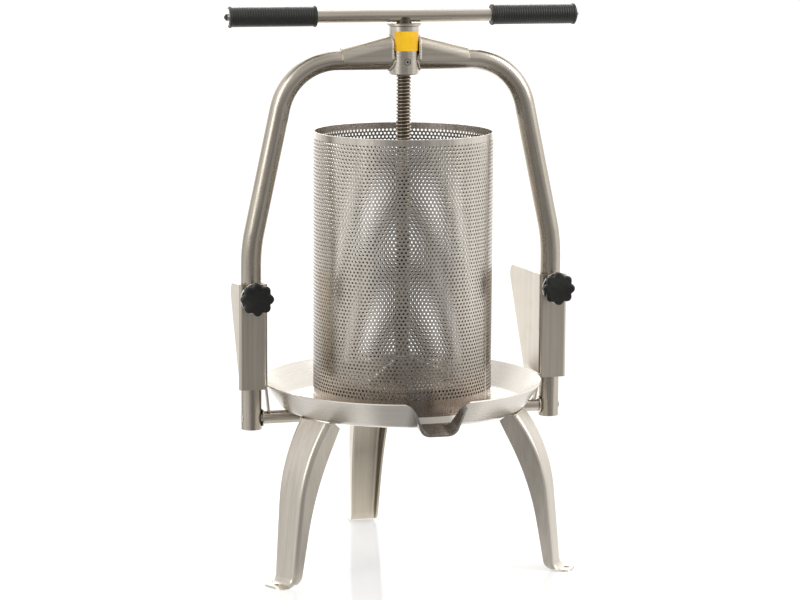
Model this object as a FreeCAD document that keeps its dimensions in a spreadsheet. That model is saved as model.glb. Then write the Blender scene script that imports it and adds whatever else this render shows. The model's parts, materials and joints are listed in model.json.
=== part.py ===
import FreeCAD, Part
import math
import os

import Sketcher
from FreeCAD import Placement, Rotation, Vector

# Stainless fruit press. Millimetres, +Z up, origin on the ground below the press screw.
# +X runs along the handle, -Y is the front, where the spout is.

# Driving dimensions

SIZES = [
    # juice tray
    ("rim_radius", 173.0), ("leg_height", 194.5), ("tray_depth", 31.5), ("tray_sheet", 2.0),
    ("floor_radius", 149.0), ("floor_bend", 12.0), ("platform_radius", 126.0), ("platform_rise", 6.5),
    ("platform_run", 7.0), ("spout_top_width", 54.0), ("spout_base_width", 30.0), ("spout_bend", 9.0),
    ("spout_lip_bend", 18.0), ("spout_fall", 10.0), ("spout_root", 138.0),
    # legs
    ("leg_sheet", 2.5), ("leg_top_width", 50.0), ("leg_foot_width", 35.0), ("leg_top_radius", 150.0),
    ("knee_inset", 15.0), ("knee_drop", 44.5), ("knee_bend", 185.0), ("ankle_radius", 199.0),
    ("ankle_bend", 11.0), ("toe_length", 20.0), ("toe_corner", 8.0), ("foot_hole_inset", 8.0),
    ("foot_hole", 7.0), ("flange_top_width", 27.0), ("flange_knee_inset", 30.5),
    ("flange_knee_drop", 83.5), ("flange_knee_bend", 340.0), ("flange_ankle_inset", 12.0),
    ("flange_ankle_height", 3.0), ("flange_ankle_bend", 12.0),
    # pivot bar and brackets
    ("bar_diameter", 16.0), ("bar_pin_diameter", 12.0), ("pivot_washer_diameter", 22.0),
    ("pivot_washer_thickness", 1.5), ("bracket_sheet", 2.5), ("bracket_width", 35.0),
    ("bracket_drop", 4.3), ("bracket_height", 130.0), ("bracket_corner", 4.0), ("tube_gap", 0.3),
    ("inner_plate_reach", 112.0), ("inner_plate_foot", 50.0), ("outer_plate_reach", 38.0),
    ("outer_plate_foot", -9.0), ("inner_plate_rise", 3.0), ("outer_plate_rise", 16.0),
    ("plate_top_fall", 5.0), ("plate_corner_height", 20.0), ("plate_corner_bend", 12.0), ("tab_lean", 8.0), ("tab_top_depth", -6.0), ("tab_foot_depth", -1.0),
    # arch
    ("tube_diameter", 25.0), ("tube_wall", 1.5), ("arm_rise", 436.0), ("shoulder_inset", 48.5),
    ("shoulder_bend", 72.0), ("kink_rise", 210.6), ("kink_bend", 200.0), ("post_foot", 13.5),
    ("hub_diameter", 37.0), ("hub_drop", 18.0), ("hub_length", 59.3), ("hub_bore", 26.0),
    ("bush_length", 50.0), ("bush_lip", 2.0), ("grub_diameter", 6.0), ("grub_rise", 15.8),
    ("grub_socket", 3.0), ("gusset_sheet", 2.0), ("gusset_reach", 79.0), ("gusset_rise", 30.0),
    ("gusset_root", 17.5), ("gusset_drop", 1.5), ("gusset_flat", 1.0), ("weld_gap", 0.1),
    # basket
    ("basket_diameter", 220.0), ("basket_wall", 1.5), ("basket_height", 332.0),
    # ram
    ("plate_clearance", 1.5), ("plate_thickness", 5.0), ("plate_lift", 25.5), ("plate_edge", 1.0),
    ("boss_diameter", 34.0), ("boss_height", 25.0), ("rib_thickness", 4.0), ("rib_reach", 82.0),
    ("rib_height", 21.0), ("rib_toe", 3.0), ("rib_count", 4), ("thrust_thickness", 2.0),
    ("lock_screw_diameter", 6.0), ("lock_screw_height", 14.0),
    # screw and handle
    ("screw_diameter", 18.5), ("running_fit", 0.08), ("groove_diameter", 13.0), ("groove_width", 7.0),
    ("screw_chamfer", 1.5), ("handle_diameter", 16.0), ("handle_wall", 1.5), ("handle_neck", 1.2),
    ("handle_half_length", 217.0), ("stop_washer_diameter", 41.5), ("stop_washer_thickness", 2.5),
    ("grip_length", 107.0), ("grip_diameter", 24.0), ("grip_flange_diameter", 26.0),
    ("grip_flange_width", 3.0), ("cap_thickness", 1.5), ("cap_diameter", 20.0), ("cap_stub", 12.0),
    ("button_diameter", 9.0), ("button_height", 4.0),
    # clamp knobs
    ("knob_rise", 114.8), ("knob_diameter", 41.0), ("knob_lobes", 8), ("knob_lobe_diameter", 9.0),
    ("knob_head", 16.0), ("knob_neck", 8.0), ("knob_neck_diameter", 19.0), ("knob_edge", 2.0),
    ("knob_washer_diameter", 20.0), ("knob_washer_thickness", 1.6), ("stud_diameter", 8.0),
    ("stud_reach", 9.5), ("insert_diameter", 12.0), ("insert_length", 9.0), ("rest_gap", 0.1),
]

document = FreeCAD.newDocument("fruit_press")
sheet = document.addObject("Spreadsheet::Sheet", "Sizes")
for row, (alias, number) in enumerate(SIZES, start=1):
    sheet.set("A%d" % row, alias)
    sheet.set("B%d" % row, str(number))
    sheet.setAlias("B%d" % row, alias)
document.recompute()


# A size is a number together with the sheet formula that gives it

class Size:
    def __init__(self, number, formula):
        self.number = number
        self.formula = formula

    def __add__(self, other):
        return Size(self.number + number(other), "(%s + %s)" % (self.formula, formula(other)))

    def __sub__(self, other):
        return Size(self.number - number(other), "(%s - %s)" % (self.formula, formula(other)))

    def __mul__(self, other):
        return Size(self.number * number(other), "(%s * %s)" % (self.formula, formula(other)))

    def __truediv__(self, other):
        return Size(self.number / number(other), "(%s / %s)" % (self.formula, formula(other)))

    def __neg__(self):
        return Size(-self.number, "(0 - %s)" % self.formula)

    __radd__ = __add__
    __rmul__ = __mul__


def number(size):
    return size.number if isinstance(size, Size) else float(size)


def formula(size):
    return size.formula if isinstance(size, Size) else str(size)


def root(size):
    return Size(math.sqrt(size.number), "sqrt(%s)" % size.formula)


def tangent(degrees):
    return Size(math.tan(math.radians(number(degrees))), "tan(%s * 1 deg)" % formula(degrees))


def arctangent(ratio):
    return Size(math.degrees(math.atan(ratio.number)), "(atan(%s) / 1 deg)" % ratio.formula)


def cosine(degrees):
    return Size(math.cos(math.radians(number(degrees))), "cos(%s * 1 deg)" % formula(degrees))


def get(alias):
    return Size(float(sheet.get(alias)), "Sizes.%s" % alias)


# Places that several pieces share

under_z = get("leg_height")
gutter_z = under_z + get("tray_sheet")
rim_z = gutter_z + get("tray_depth")
platform_z = gutter_z + get("platform_rise")
bar_radius = get("bar_diameter") / 2
pivot_z = under_z - bar_radius - get("weld_gap")
post_x = get("rim_radius") + get("weld_gap") + get("bracket_width") / 2
bracket_z = rim_z - get("bracket_drop")
knob_z = bracket_z + get("knob_rise")
arm_z = pivot_z + get("arm_rise")
tube_radius = get("tube_diameter") / 2
web_back = tube_radius + get("tube_gap")
web_front = web_back + get("bracket_sheet")
hub_radius = get("hub_diameter") / 2
hub_z = arm_z - get("hub_drop")
hub_top = hub_z + get("hub_length")
screw_radius = get("screw_diameter") / 2
screw_hole = screw_radius + get("running_fit")
plate_z = platform_z + get("plate_lift")
plate_top = plate_z + get("plate_thickness")
boss_radius = get("boss_diameter") / 2
handle_radius = get("handle_diameter") / 2
handle_z = hub_top + get("rest_gap") + get("stop_washer_thickness") + get("handle_neck") + handle_radius


# Helpers for bodies, sketches and features

def add_body(name):
    body = document.addObject("PartDesign::Body", name)
    body.Label = name
    return body


def bind(thing, prop, size):
    if isinstance(size, Size):
        thing.setExpression(prop, size.formula)
    else:
        thing.setExpression(prop, str(size))


def add_sketch(body, name, plane, out=None, up=None, tilt=None):
    """A sketch on one of the body's origin planes, moved out along its normal, up, and tilted."""
    sketch = body.newObject("Sketcher::SketchObject", name)
    support = [item for item in body.Origin.OriginFeatures if item.Role == plane][0]
    sketch.AttachmentSupport = [(support, "")]
    sketch.MapMode = "FlatFace"
    base = Vector(0, number(up or 0), number(out or 0))
    sketch.AttachmentOffset = Placement(base, Rotation(Vector(1, 0, 0), number(tilt or 0)))
    if out is not None:
        bind(sketch, "AttachmentOffset.Base.z", out)
    if up is not None:
        bind(sketch, "AttachmentOffset.Base.y", up)
    if tilt is not None:
        bind(sketch, "AttachmentOffset.Rotation.Angle", tilt)
    return sketch


def fix(sketch, kind, place, size):
    index = sketch.addConstraint(Sketcher.Constraint(kind, *place, number(size)))
    if isinstance(size, Size):
        sketch.setExpression("Constraints[%d]" % index, size.formula)


def fix_point(sketch, geometry, end, x, y):
    fix(sketch, "DistanceX", (-1, 1, geometry, end), x)
    fix(sketch, "DistanceY", (-1, 1, geometry, end), y)


def draw_circle(sketch, x, y, radius):
    centre = Vector(number(x), number(y), 0)
    geometry = sketch.addGeometry(Part.Circle(centre, Vector(0, 0, 1), number(radius)))
    fix(sketch, "Radius", (geometry,), radius)
    fix_point(sketch, geometry, 3, x, y)


def draw_path(sketch, corners, closed=True):
    """Straight lines through the corners. A corner with a third value is rounded to that radius."""
    count = len(corners)
    points = [Vector(number(c[0]), number(c[1]), 0) for c in corners]
    radii = [c[2] if len(c) > 2 else None for c in corners]
    starts, ends, arcs = {}, {}, {}
    for i in range(count):
        starts[i] = ends[i] = points[i]
        if radii[i] is None:
            continue
        before = (points[i - 1] - points[i]).normalize()
        after = (points[(i + 1) % count] - points[i]).normalize()
        half = before.getAngle(after) / 2
        reach = number(radii[i]) / math.tan(half)
        middle = (before + after).normalize() * (number(radii[i]) / math.sin(half))
        ends[i] = points[i] + before * reach
        starts[i] = points[i] + after * reach
        arcs[i] = (points[i] + middle, before.cross(after).z < 0)
    lines = {}
    for i in range(count if closed else count - 1):
        lines[i] = sketch.addGeometry(Part.LineSegment(starts[i], ends[(i + 1) % count]))
    for i in range(count):
        line_in = lines.get((i - 1) % count)
        line_out = lines.get(i)
        if radii[i] is None:
            if line_in is not None and line_out is not None:
                sketch.addConstraint(Sketcher.Constraint("Coincident", line_in, 2, line_out, 1))
            if line_out is not None:
                fix_point(sketch, line_out, 1, corners[i][0], corners[i][1])
            else:
                fix_point(sketch, line_in, 2, corners[i][0], corners[i][1])
            continue
        centre, left_turn = arcs[i]
        first, last = (ends[i], starts[i]) if left_turn else (starts[i], ends[i])
        angles = [math.atan2(p.y - centre.y, p.x - centre.x) for p in (first, last)]
        circle = Part.Circle(centre, Vector(0, 0, 1), number(radii[i]))
        arc = sketch.addGeometry(Part.ArcOfCircle(circle, angles[0], angles[1]))
        mark = sketch.addGeometry(Part.Point(points[i]), True)
        fix_point(sketch, mark, 1, corners[i][0], corners[i][1])
        entry, leave = (1, 2) if left_turn else (2, 1)
        sketch.addConstraint([
            Sketcher.Constraint("PointOnObject", mark, 1, line_in),
            Sketcher.Constraint("PointOnObject", mark, 1, line_out),
            Sketcher.Constraint("Tangent", line_in, 2, arc, entry),
            Sketcher.Constraint("Tangent", arc, leave, line_out, 1),
        ])
        fix(sketch, "Radius", (arc,), radii[i])


def extrude(body, kind, sketch, length, backwards=False, both_ways=False):
    feature = body.newObject("PartDesign::" + kind, kind + "_" + sketch.Name)
    feature.Profile = sketch
    bind(feature, "Length", length)
    feature.Reversed = backwards
    if both_ways:
        feature.SideType = "Symmetric"
    return feature


def spin(body, kind, sketch, axis="V_Axis"):
    feature = body.newObject("PartDesign::" + kind, kind + "_" + sketch.Name)
    feature.Profile = sketch
    feature.ReferenceAxis = (sketch, [axis])
    feature.Angle = 360
    return feature


def round_edges(body, kind, feature, wanted, radius, along=None):
    """Fillet or chamfer the curved edges, or the straight ones along a direction, whose ends
    all pass the test."""
    document.recompute()
    names = []
    for place, edge in enumerate(feature.Shape.Edges, start=1):
        straight = isinstance(edge.Curve, Part.Line)
        if straight != (along is not None):
            continue
        if straight and abs(edge.tangentAt(edge.FirstParameter).dot(along)) < 0.99:
            continue
        if edge.Vertexes and all(wanted(v.Point) for v in edge.Vertexes):
            names.append("Edge%d" % place)
    dressed = body.newObject("PartDesign::" + kind, kind + "_" + feature.Name)
    dressed.Base = (feature, names)
    bind(dressed, "Radius" if kind == "Fillet" else "Size", radius)
    return dressed


def near(a, b):
    return abs(a - number(b)) < 0.01


def part_cylinder(name, radius, height, placement, moved=None):
    cylinder = document.addObject("Part::Cylinder", name)
    bind(cylinder, "Radius", radius)
    bind(cylinder, "Height", height)
    cylinder.Placement = placement
    for axis, size in (moved or {}).items():
        bind(cylinder, "Placement.Base." + axis, size)
    return cylinder


def part_cut(name, base, tool):
    cut = document.addObject("Part::Cut", name)
    cut.Base = base
    cut.Tool = tool
    cut.Label = name
    return cut


def ring(name, outer, inner, height, placement, moved):
    """A washer or sleeve, made as one cylinder cut by another."""
    base = part_cylinder(name + "_outside", outer, height, placement, moved)
    tool = part_cylinder(name + "_inside", inner, height, placement, moved)
    return part_cut(name, base, tool)


UP = Vector(0, 0, 1)
ALONG_Z = Placement()
ALONG_X = Placement(Vector(), Rotation(Vector(0, 1, 0), 90))
TO_FRONT = Placement(Vector(), Rotation(Vector(1, 0, 0), 90))
SIDES = (("left", -1), ("right", 1))


# Tray: spun dish with a raised platform, a gutter and a pouring lip

def make_tray():
    body = add_body("tray")
    skin = get("tray_sheet")
    run = get("rim_radius") - get("floor_radius")
    rise = get("tray_depth")
    slope = root(run * run + rise * rise)
    wall_shift = skin * slope / rise
    foot_shift = skin * (slope - run) / rise
    fold = get("platform_radius") + get("platform_run")
    fold_shift = skin / 2
    profile = add_sketch(body, "tray_profile", "XZ_Plane")
    draw_path(profile, [
        (0, platform_z - skin),
        (get("platform_radius") - fold_shift, platform_z - skin),
        (fold - fold_shift, under_z),
        (get("floor_radius") + foot_shift, under_z, get("floor_bend") + skin),
        (get("rim_radius"), rim_z - skin * run / slope),
        (get("rim_radius") - wall_shift / 2, rim_z),
        (get("rim_radius") - wall_shift, rim_z - skin * run / slope),
        (get("floor_radius") - wall_shift + foot_shift, gutter_z, get("floor_bend")),
        (fold, gutter_z),
        (get("platform_radius"), platform_z),
        (0, platform_z),
    ])
    dish = spin(body, "Revolution", profile)

    reach = (get("rim_radius") - get("spout_root")) / cosine(get("spout_fall"))
    height = get("tray_depth") + (get("rim_radius") - get("spout_root")) * tangent(get("spout_fall"))
    half_top = get("spout_top_width") / 2
    half_base = get("spout_base_width") / 2
    shell = add_sketch(body, "spout_shell", "XZ_Plane", get("spout_root"), gutter_z, get("spout_fall"))
    draw_path(shell, [
        (-half_base - skin, -skin, get("spout_bend") + skin),
        (half_base + skin, -skin, get("spout_bend") + skin),
        (half_top + skin, height),
        (-half_top - skin, height),
    ])
    extrude(body, "Pad", shell, reach)

    bowl = add_sketch(body, "bowl_inside", "XZ_Plane")
    spare = get("tray_depth")
    draw_path(bowl, [
        (fold, gutter_z),
        (get("floor_radius") - wall_shift + foot_shift, gutter_z, get("floor_bend")),
        (get("rim_radius") - wall_shift + run / rise * spare, rim_z + spare),
        (fold, rim_z + spare),
    ])
    spin(body, "Groove", bowl)

    mouth = add_sketch(body, "spout_mouth", "XZ_Plane", get("spout_root"), gutter_z, get("spout_fall"))
    draw_path(mouth, [
        (-half_base, 0, get("spout_bend")),
        (half_base, 0, get("spout_bend")),
        (half_top, height, get("spout_lip_bend")),
        (half_top * 2, height),
        (half_top * 2, height * 2),
        (-half_top * 2, height * 2),
        (-half_top * 2, height),
        (-half_top, height, get("spout_lip_bend")),
    ])
    extrude(body, "Pocket", mouth, reach + skin, backwards=True)
    return dish


# Legs: tapered channels with a flat foot, one at the back and two at the front

def make_leg(name, turn):
    body = add_body(name)
    half = get("leg_sheet") / 2
    toe_width = get("leg_foot_width")
    toe = get("ankle_radius") + get("toe_length")
    knee = (get("ankle_radius") - get("knee_inset"), under_z - get("knee_drop"), get("knee_bend"))
    ankle = (get("ankle_radius"), half, get("ankle_bend"))
    top = (get("leg_top_radius"), under_z)

    spine = add_sketch(body, name + "_spine", "XZ_Plane")
    over = (top[0] + (top[0] - knee[0]) / 10, top[1] + (top[1] - knee[1]) / 10)
    draw_path(spine, [(toe, half), ankle, knee, over], closed=False)
    strip = add_sketch(body, name + "_strip", "YZ_Plane", toe)
    half_width = get("leg_top_width") / 2
    draw_path(strip, [(-half_width, 0), (half_width, 0), (half_width, half * 2), (-half_width, half * 2)])
    web = body.newObject("PartDesign::AdditivePipe", name + "_web")
    web.Profile = strip
    web.Spine = (spine, [])
    document.recompute()

    below = half * 2
    for label, side in SIDES:
        waste = add_sketch(body, name + "_waste_" + label, "YZ_Plane")
        draw_path(waste, [
            (toe_width / 2 * side, -below), (half_width * side, under_z),
            (half_width * 2 * side, under_z), (half_width * 2 * side, -below),
        ])
        extrude(body, "Pocket", waste, toe * 2 + below * 4, both_ways=True)

    lean = arctangent((half_width - toe_width / 2) / (under_z + below))
    stretch = 1 / cosine(lean).number
    heel = get("ankle_radius") + get("ankle_bend")
    for label, side in SIDES:
        cheek = add_sketch(body, name + "_cheek_" + label, "XZ_Plane",
                           toe_width / 2 * -side, -below, lean * -side)
        draw_path(cheek, [
            (heel, (half + below) * stretch),
            (get("ankle_radius"), (half + below) * stretch, get("ankle_bend")),
            (knee[0], (knee[1] + below) * stretch, get("knee_bend")),
            (get("leg_top_radius"), (under_z + below * 2) * stretch),
            (get("leg_top_radius") - get("flange_top_width"), (under_z + below * 2) * stretch),
            (get("ankle_radius") - get("flange_knee_inset"),
             (under_z - get("flange_knee_drop") + below) * stretch, get("flange_knee_bend")),
            (get("ankle_radius") - get("flange_ankle_inset"),
             (get("flange_ankle_height") + below) * stretch, get("flange_ankle_bend")),
            (heel, (half * 1.8 + below) * stretch),
        ])
        extrude(body, "Pad", cheek, get("leg_sheet"), backwards=(side < 0))

    ceiling = add_sketch(body, name + "_ceiling", "XY_Plane", under_z)
    draw_circle(ceiling, 0, 0, toe)
    extrude(body, "Pocket", ceiling, get("tray_depth"), backwards=True)
    hole = add_sketch(body, name + "_hole", "XY_Plane")
    draw_circle(hole, toe - get("foot_hole_inset"), 0, get("foot_hole") / 2)
    drilled = extrude(body, "Pocket", hole, get("leg_sheet") * 4, both_ways=True)
    round_edges(body, "Fillet", drilled, lambda p: near(p.x, toe), get("toe_corner"), along=UP)
    body.Placement = Placement(Vector(), Rotation(Vector(0, 0, 1), turn))


# Pivot bar under the tray, with a turned-down pin at each end

def make_cross_bar():
    body = add_body("cross_bar")
    shoulder = post_x - tube_radius - get("pivot_washer_thickness") - get("weld_gap")
    bar = add_sketch(body, "bar_section", "YZ_Plane", None, pivot_z)
    draw_circle(bar, 0, 0, bar_radius)
    extrude(body, "Pad", bar, shoulder * 2, both_ways=True)
    pins = add_sketch(body, "pin_section", "YZ_Plane", None, pivot_z)
    draw_circle(pins, 0, 0, get("bar_pin_diameter") / 2)
    whole = extrude(body, "Pad", pins, (post_x + tube_radius) * 2, both_ways=True)
    end = number(post_x + tube_radius)
    round_edges(body, "Chamfer", whole, lambda p: near(abs(p.x), end), get("weld_gap") * 8)


def make_pivot_washer(name, side):
    thick = get("pivot_washer_thickness")
    start = (post_x - tube_radius - thick) if side > 0 else (tube_radius - post_x)
    ring(name, get("pivot_washer_diameter") / 2, get("bar_pin_diameter") / 2 + get("running_fit"),
         thick, ALONG_X, {"x": start, "z": pivot_z})


# Brackets: channels open to the rear that hold the posts, with side plates that guide them in

def make_bracket(name, side):
    body = add_body(name)
    skin = get("bracket_sheet")
    half = get("bracket_width") / 2
    base, top = bracket_z, bracket_z + get("bracket_height")

    web = add_sketch(body, name + "_web", "XZ_Plane", web_back)
    draw_path(web, [
        ((post_x - half) * side, base), ((post_x + half) * side, base),
        ((post_x + half) * side, top), ((post_x - half) * side, top),
    ])
    extrude(body, "Pad", web, skin)

    def plate(label, face, reach, foot, rise, toward):
        outline = add_sketch(body, name + "_" + label, "YZ_Plane", face * side)
        draw_path(outline, [
            (-web_front, base), (foot, base), (foot, base + rise),
            (reach, top - get("plate_corner_height")),
            (reach, top - get("plate_top_fall"), get("plate_corner_bend")),
            (-web_back, top), (-web_front, top),
        ])
        return extrude(body, "Pad", outline, skin, backwards=(toward * side < 0))

    plate("inner", post_x - half, get("inner_plate_reach"), get("inner_plate_foot"),
          get("inner_plate_rise"), 1)
    whole = plate("outer", post_x + half, get("outer_plate_reach"), get("outer_plate_foot"),
                  get("outer_plate_rise"), -1)
    front = number(-web_front)
    faces = [number((post_x + half * k) * side) for k in (-1, 1)]
    corners = round_edges(
        body, "Fillet", whole,
        lambda p: near(p.y, front) and min(abs(p.x - f) for f in faces) < 0.01,
        get("bracket_corner"), along=UP)

    hole = add_sketch(body, name + "_hole", "XZ_Plane")
    draw_circle(hole, post_x * side, knob_z, get("stud_diameter") / 2 + get("tube_gap") * 2)
    extrude(body, "Pocket", hole, web_front * 4, both_ways=True)
    return corners


def make_tab(name, side):
    """Leaning plate that ties the bracket to the pivot bar."""
    body = add_body(name)
    skin = get("bracket_sheet")
    foot = pivot_z + bar_radius + get("weld_gap")
    lean = get("tab_lean")
    drop = (bracket_z - get("weld_gap") - foot) / cosine(lean) - skin * tangent(lean)
    sketch = add_sketch(body, name + "_outline", "YZ_Plane")
    draw_path(sketch, [
        (-bar_radius, -drop), (get("tab_foot_depth"), -drop),
        (get("tab_top_depth"), 0), (-web_back, 0),
    ])
    extrude(body, "Pad", sketch, skin, backwards=(side < 0))
    shift = get("rim_radius") + get("weld_gap")
    body.Placement = Placement(
        Vector(number(shift) * side, 0, number(bracket_z - get("weld_gap"))),
        Rotation(Vector(0, side, 0), number(lean)))
    bind(body, "Placement.Base.x", shift * side)
    bind(body, "Placement.Base.z", bracket_z - get("weld_gap"))
    bind(body, "Placement.Rotation.Angle", lean)


# Arch: bent tubes, hub, threaded bush and the saddles over the arms

def make_arch_tube(name, side):
    body = add_body(name)
    foot = pivot_z - get("post_foot")
    spine = add_sketch(body, name + "_spine", "XZ_Plane")
    draw_path(spine, [
        (post_x * side, foot),
        (post_x * side, pivot_z + get("kink_rise"), get("kink_bend")),
        ((post_x - get("shoulder_inset")) * side, arm_z, get("shoulder_bend")),
        (get("weld_gap") * side, arm_z),
    ], closed=False)
    section = add_sketch(body, name + "_section", "XY_Plane", foot)
    draw_circle(section, post_x * side, 0, tube_radius)
    draw_circle(section, post_x * side, 0, tube_radius - get("tube_wall"))
    pipe = body.newObject("PartDesign::AdditivePipe", name + "_pipe")
    pipe.Profile = section
    pipe.Spine = (spine, [])
    document.recompute()

    cope = add_sketch(body, name + "_cope", "XY_Plane")
    draw_circle(cope, 0, 0, hub_radius + get("weld_gap"))
    extrude(body, "Pocket", cope, arm_z * 4, both_ways=True)
    pivot = add_sketch(body, name + "_pivot_hole", "YZ_Plane", None, pivot_z)
    draw_circle(pivot, 0, 0, get("bar_pin_diameter") / 2 + get("running_fit"))
    extrude(body, "Pocket", pivot, post_x * 4, both_ways=True)
    seat = add_sketch(body, name + "_insert_hole", "XZ_Plane")
    draw_circle(seat, post_x * side, knob_z, get("insert_diameter") / 2)
    extrude(body, "Pocket", seat, tube_radius * 2, backwards=True)


def make_hub():
    body = add_body("hub")
    profile = add_sketch(body, "hub_profile", "XZ_Plane")
    bore = get("hub_bore") / 2
    lip = hub_z + get("bush_lip")
    mouth = screw_hole + get("tube_gap") * 2
    draw_path(profile, [
        (mouth, hub_z), (hub_radius, hub_z), (hub_radius, hub_top),
        (bore, hub_top), (bore, lip), (mouth, lip),
    ])
    turned = spin(body, "Revolution", profile)
    edge = number(hub_radius)
    dressed = round_edges(body, "Chamfer", turned, lambda p: near(math.hypot(p.x, p.y), edge),
                          get("plate_edge"))
    hole = add_sketch(body, "grub_hole", "XZ_Plane")
    draw_circle(hole, 0, hub_z + get("grub_rise"), get("grub_diameter") / 2)
    extrude(body, "Pocket", hole, hub_radius * 2, backwards=True)
    return dressed


def make_bush():
    ring("screw_bush", get("hub_bore") / 2, screw_hole, get("bush_length"), ALONG_Z,
         {"z": hub_z + get("bush_lip")})


def make_set_screw(name, diameter, tip, head, height):
    """Headless screw along Y with a hexagon socket in its front end."""
    shank = part_cylinder(name + "_shank", diameter / 2, head - tip, TO_FRONT,
                          {"y": -tip, "z": height})
    socket = document.addObject("Part::Prism", name + "_socket")
    socket.Polygon = 6
    bind(socket, "Circumradius", get("grub_socket") / 2)
    bind(socket, "Height", get("grub_socket"))
    socket.Placement = TO_FRONT
    bind(socket, "Placement.Base.y", get("grub_socket") - head)
    bind(socket, "Placement.Base.z", height)
    part_cut(name, shank, socket)


def make_gusset(name, side):
    """Sheet saddle that wraps the arm and rises to the hub."""
    body = add_body(name)
    skin = get("gusset_sheet")
    outer = tube_radius + get("tube_gap") + skin
    root, toe = get("gusset_root") * side, get("gusset_reach") * side
    base, peak, end = arm_z - get("gusset_drop"), arm_z + get("gusset_rise"), arm_z + outer
    profile = add_sketch(body, name + "_profile", "XZ_Plane")
    draw_path(profile, [(root, base), (toe, base), (toe, end), (root, peak)])
    block = extrude(body, "Pad", profile, outer * 2, both_ways=True)
    slope = Vector(number(toe - root), 0, number(end - peak)).normalize()
    floor = number(base) + 1
    rounded = round_edges(body, "Fillet", block, lambda p: p.z > floor,
                          outer - get("gusset_flat") / 2, along=slope)
    document.recompute()
    open_faces = []
    for place, face in enumerate(rounded.Shape.Faces, start=1):
        points = [v.Point for v in face.Vertexes]
        if (all(near(p.z, base) for p in points) or all(near(p.x, root) for p in points)
                or all(near(p.x, toe) for p in points)):
            open_faces.append("Face%d" % place)
    hollow = body.newObject("PartDesign::Thickness", name + "_hollow")
    hollow.Base = (rounded, open_faces)
    hollow.Reversed = True
    bind(hollow, "Value", skin)
    document.recompute()
    cope = add_sketch(body, name + "_cope", "XY_Plane")
    draw_circle(cope, 0, 0, hub_radius + get("weld_gap"))
    extrude(body, "Pocket", cope, arm_z * 4, both_ways=True)


def make_insert(name, side):
    front = tube_radius - get("weld_gap")
    ring(name, get("insert_diameter") / 2 - get("weld_gap"), get("stud_diameter") / 2 + get("running_fit"),
         get("insert_length"), TO_FRONT,
         {"x": post_x * side, "y": get("insert_length") - front, "z": knob_z})


# Basket: rolled sheet, open at both ends

def make_basket():
    """A rolled sheet, open at both ends. Its 3 mm holes at 5 mm pitch are too fine for the solid."""
    outer = get("basket_diameter") / 2
    base = platform_z + get("rest_gap")
    ring("basket_wall", outer, outer - get("basket_wall"), get("basket_height"), ALONG_Z, {"z": base})


# Ram: round plate with a ribbed boss that carries the end of the screw

def make_press_plate():
    body = add_body("press_plate")
    radius = get("basket_diameter") / 2 - get("basket_wall") - get("plate_clearance")
    disc = add_sketch(body, "plate_disc", "XY_Plane", plate_z)
    draw_circle(disc, 0, 0, radius)
    pad = extrude(body, "Pad", disc, get("plate_thickness"))
    edge = number(radius)
    round_edges(body, "Chamfer", pad, lambda p: near(math.hypot(p.x, p.y), edge), get("plate_edge"))


def make_press_boss():
    body = add_body("press_boss")
    profile = add_sketch(body, "boss_profile", "XZ_Plane")
    top = plate_top + get("boss_height")
    draw_path(profile, [
        (screw_hole, plate_top), (boss_radius, plate_top), (boss_radius, top), (screw_hole, top),
    ])
    turned = spin(body, "Revolution", profile)
    edge, ceiling = number(boss_radius), number(top)
    round_edges(body, "Chamfer", turned,
                lambda p: near(math.hypot(p.x, p.y), edge) and near(p.z, ceiling), get("plate_edge"))
    hole = add_sketch(body, "lock_hole", "XZ_Plane")
    draw_circle(hole, 0, plate_top + get("lock_screw_height"), get("lock_screw_diameter") / 2)
    extrude(body, "Pocket", hole, boss_radius * 2, backwards=True)


def make_rib(index):
    name = "press_rib_%d" % (index + 1)
    body = add_body(name)
    side = add_sketch(body, name + "_side", "XZ_Plane")
    draw_path(side, [
        (boss_radius, plate_top), (get("rib_reach"), plate_top),
        (get("rib_reach"), plate_top + get("rib_toe")), (boss_radius, plate_top + get("rib_height")),
    ])
    extrude(body, "Pad", side, get("rib_thickness"), both_ways=True)
    step = 360.0 / number(get("rib_count"))
    body.Placement = Placement(Vector(), Rotation(Vector(0, 0, 1), step * (index + 0.5)))


# Screw, handle and grips

def make_screw():
    body = add_body("press_screw")
    profile = add_sketch(body, "screw_profile", "XZ_Plane")
    foot = plate_top + get("thrust_thickness") + get("rest_gap")
    groove = get("groove_diameter") / 2
    middle = plate_top + get("lock_screw_height")
    low, high = middle - get("groove_width") / 2, middle + get("groove_width") / 2
    bevel = get("screw_chamfer")
    draw_path(profile, [
        (0, foot), (screw_radius - bevel, foot), (screw_radius, foot + bevel), (screw_radius, low),
        (groove, low), (groove, high), (screw_radius, high),
        (screw_radius, handle_z), (0, handle_z),
    ])
    spin(body, "Revolution", profile)
    saddle = add_sketch(body, "handle_saddle", "YZ_Plane", None, handle_z)
    draw_circle(saddle, 0, 0, handle_radius)
    extrude(body, "Pocket", saddle, get("screw_diameter") * 2, both_ways=True)


def make_thrust_disc():
    disc = part_cylinder("thrust_disc", screw_radius - get("running_fit"), get("thrust_thickness"),
                         ALONG_Z, {"z": plate_top})
    disc.Label = "thrust_disc"


def make_handle():
    length = get("handle_half_length") * 2
    ring("handle_tube", handle_radius, handle_radius - get("handle_wall"), length, ALONG_X,
         {"x": -get("handle_half_length"), "z": handle_z})
    ring("stop_washer", get("stop_washer_diameter") / 2, screw_radius, get("stop_washer_thickness"),
         ALONG_Z, {"z": hub_top + get("rest_gap")})


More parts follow.
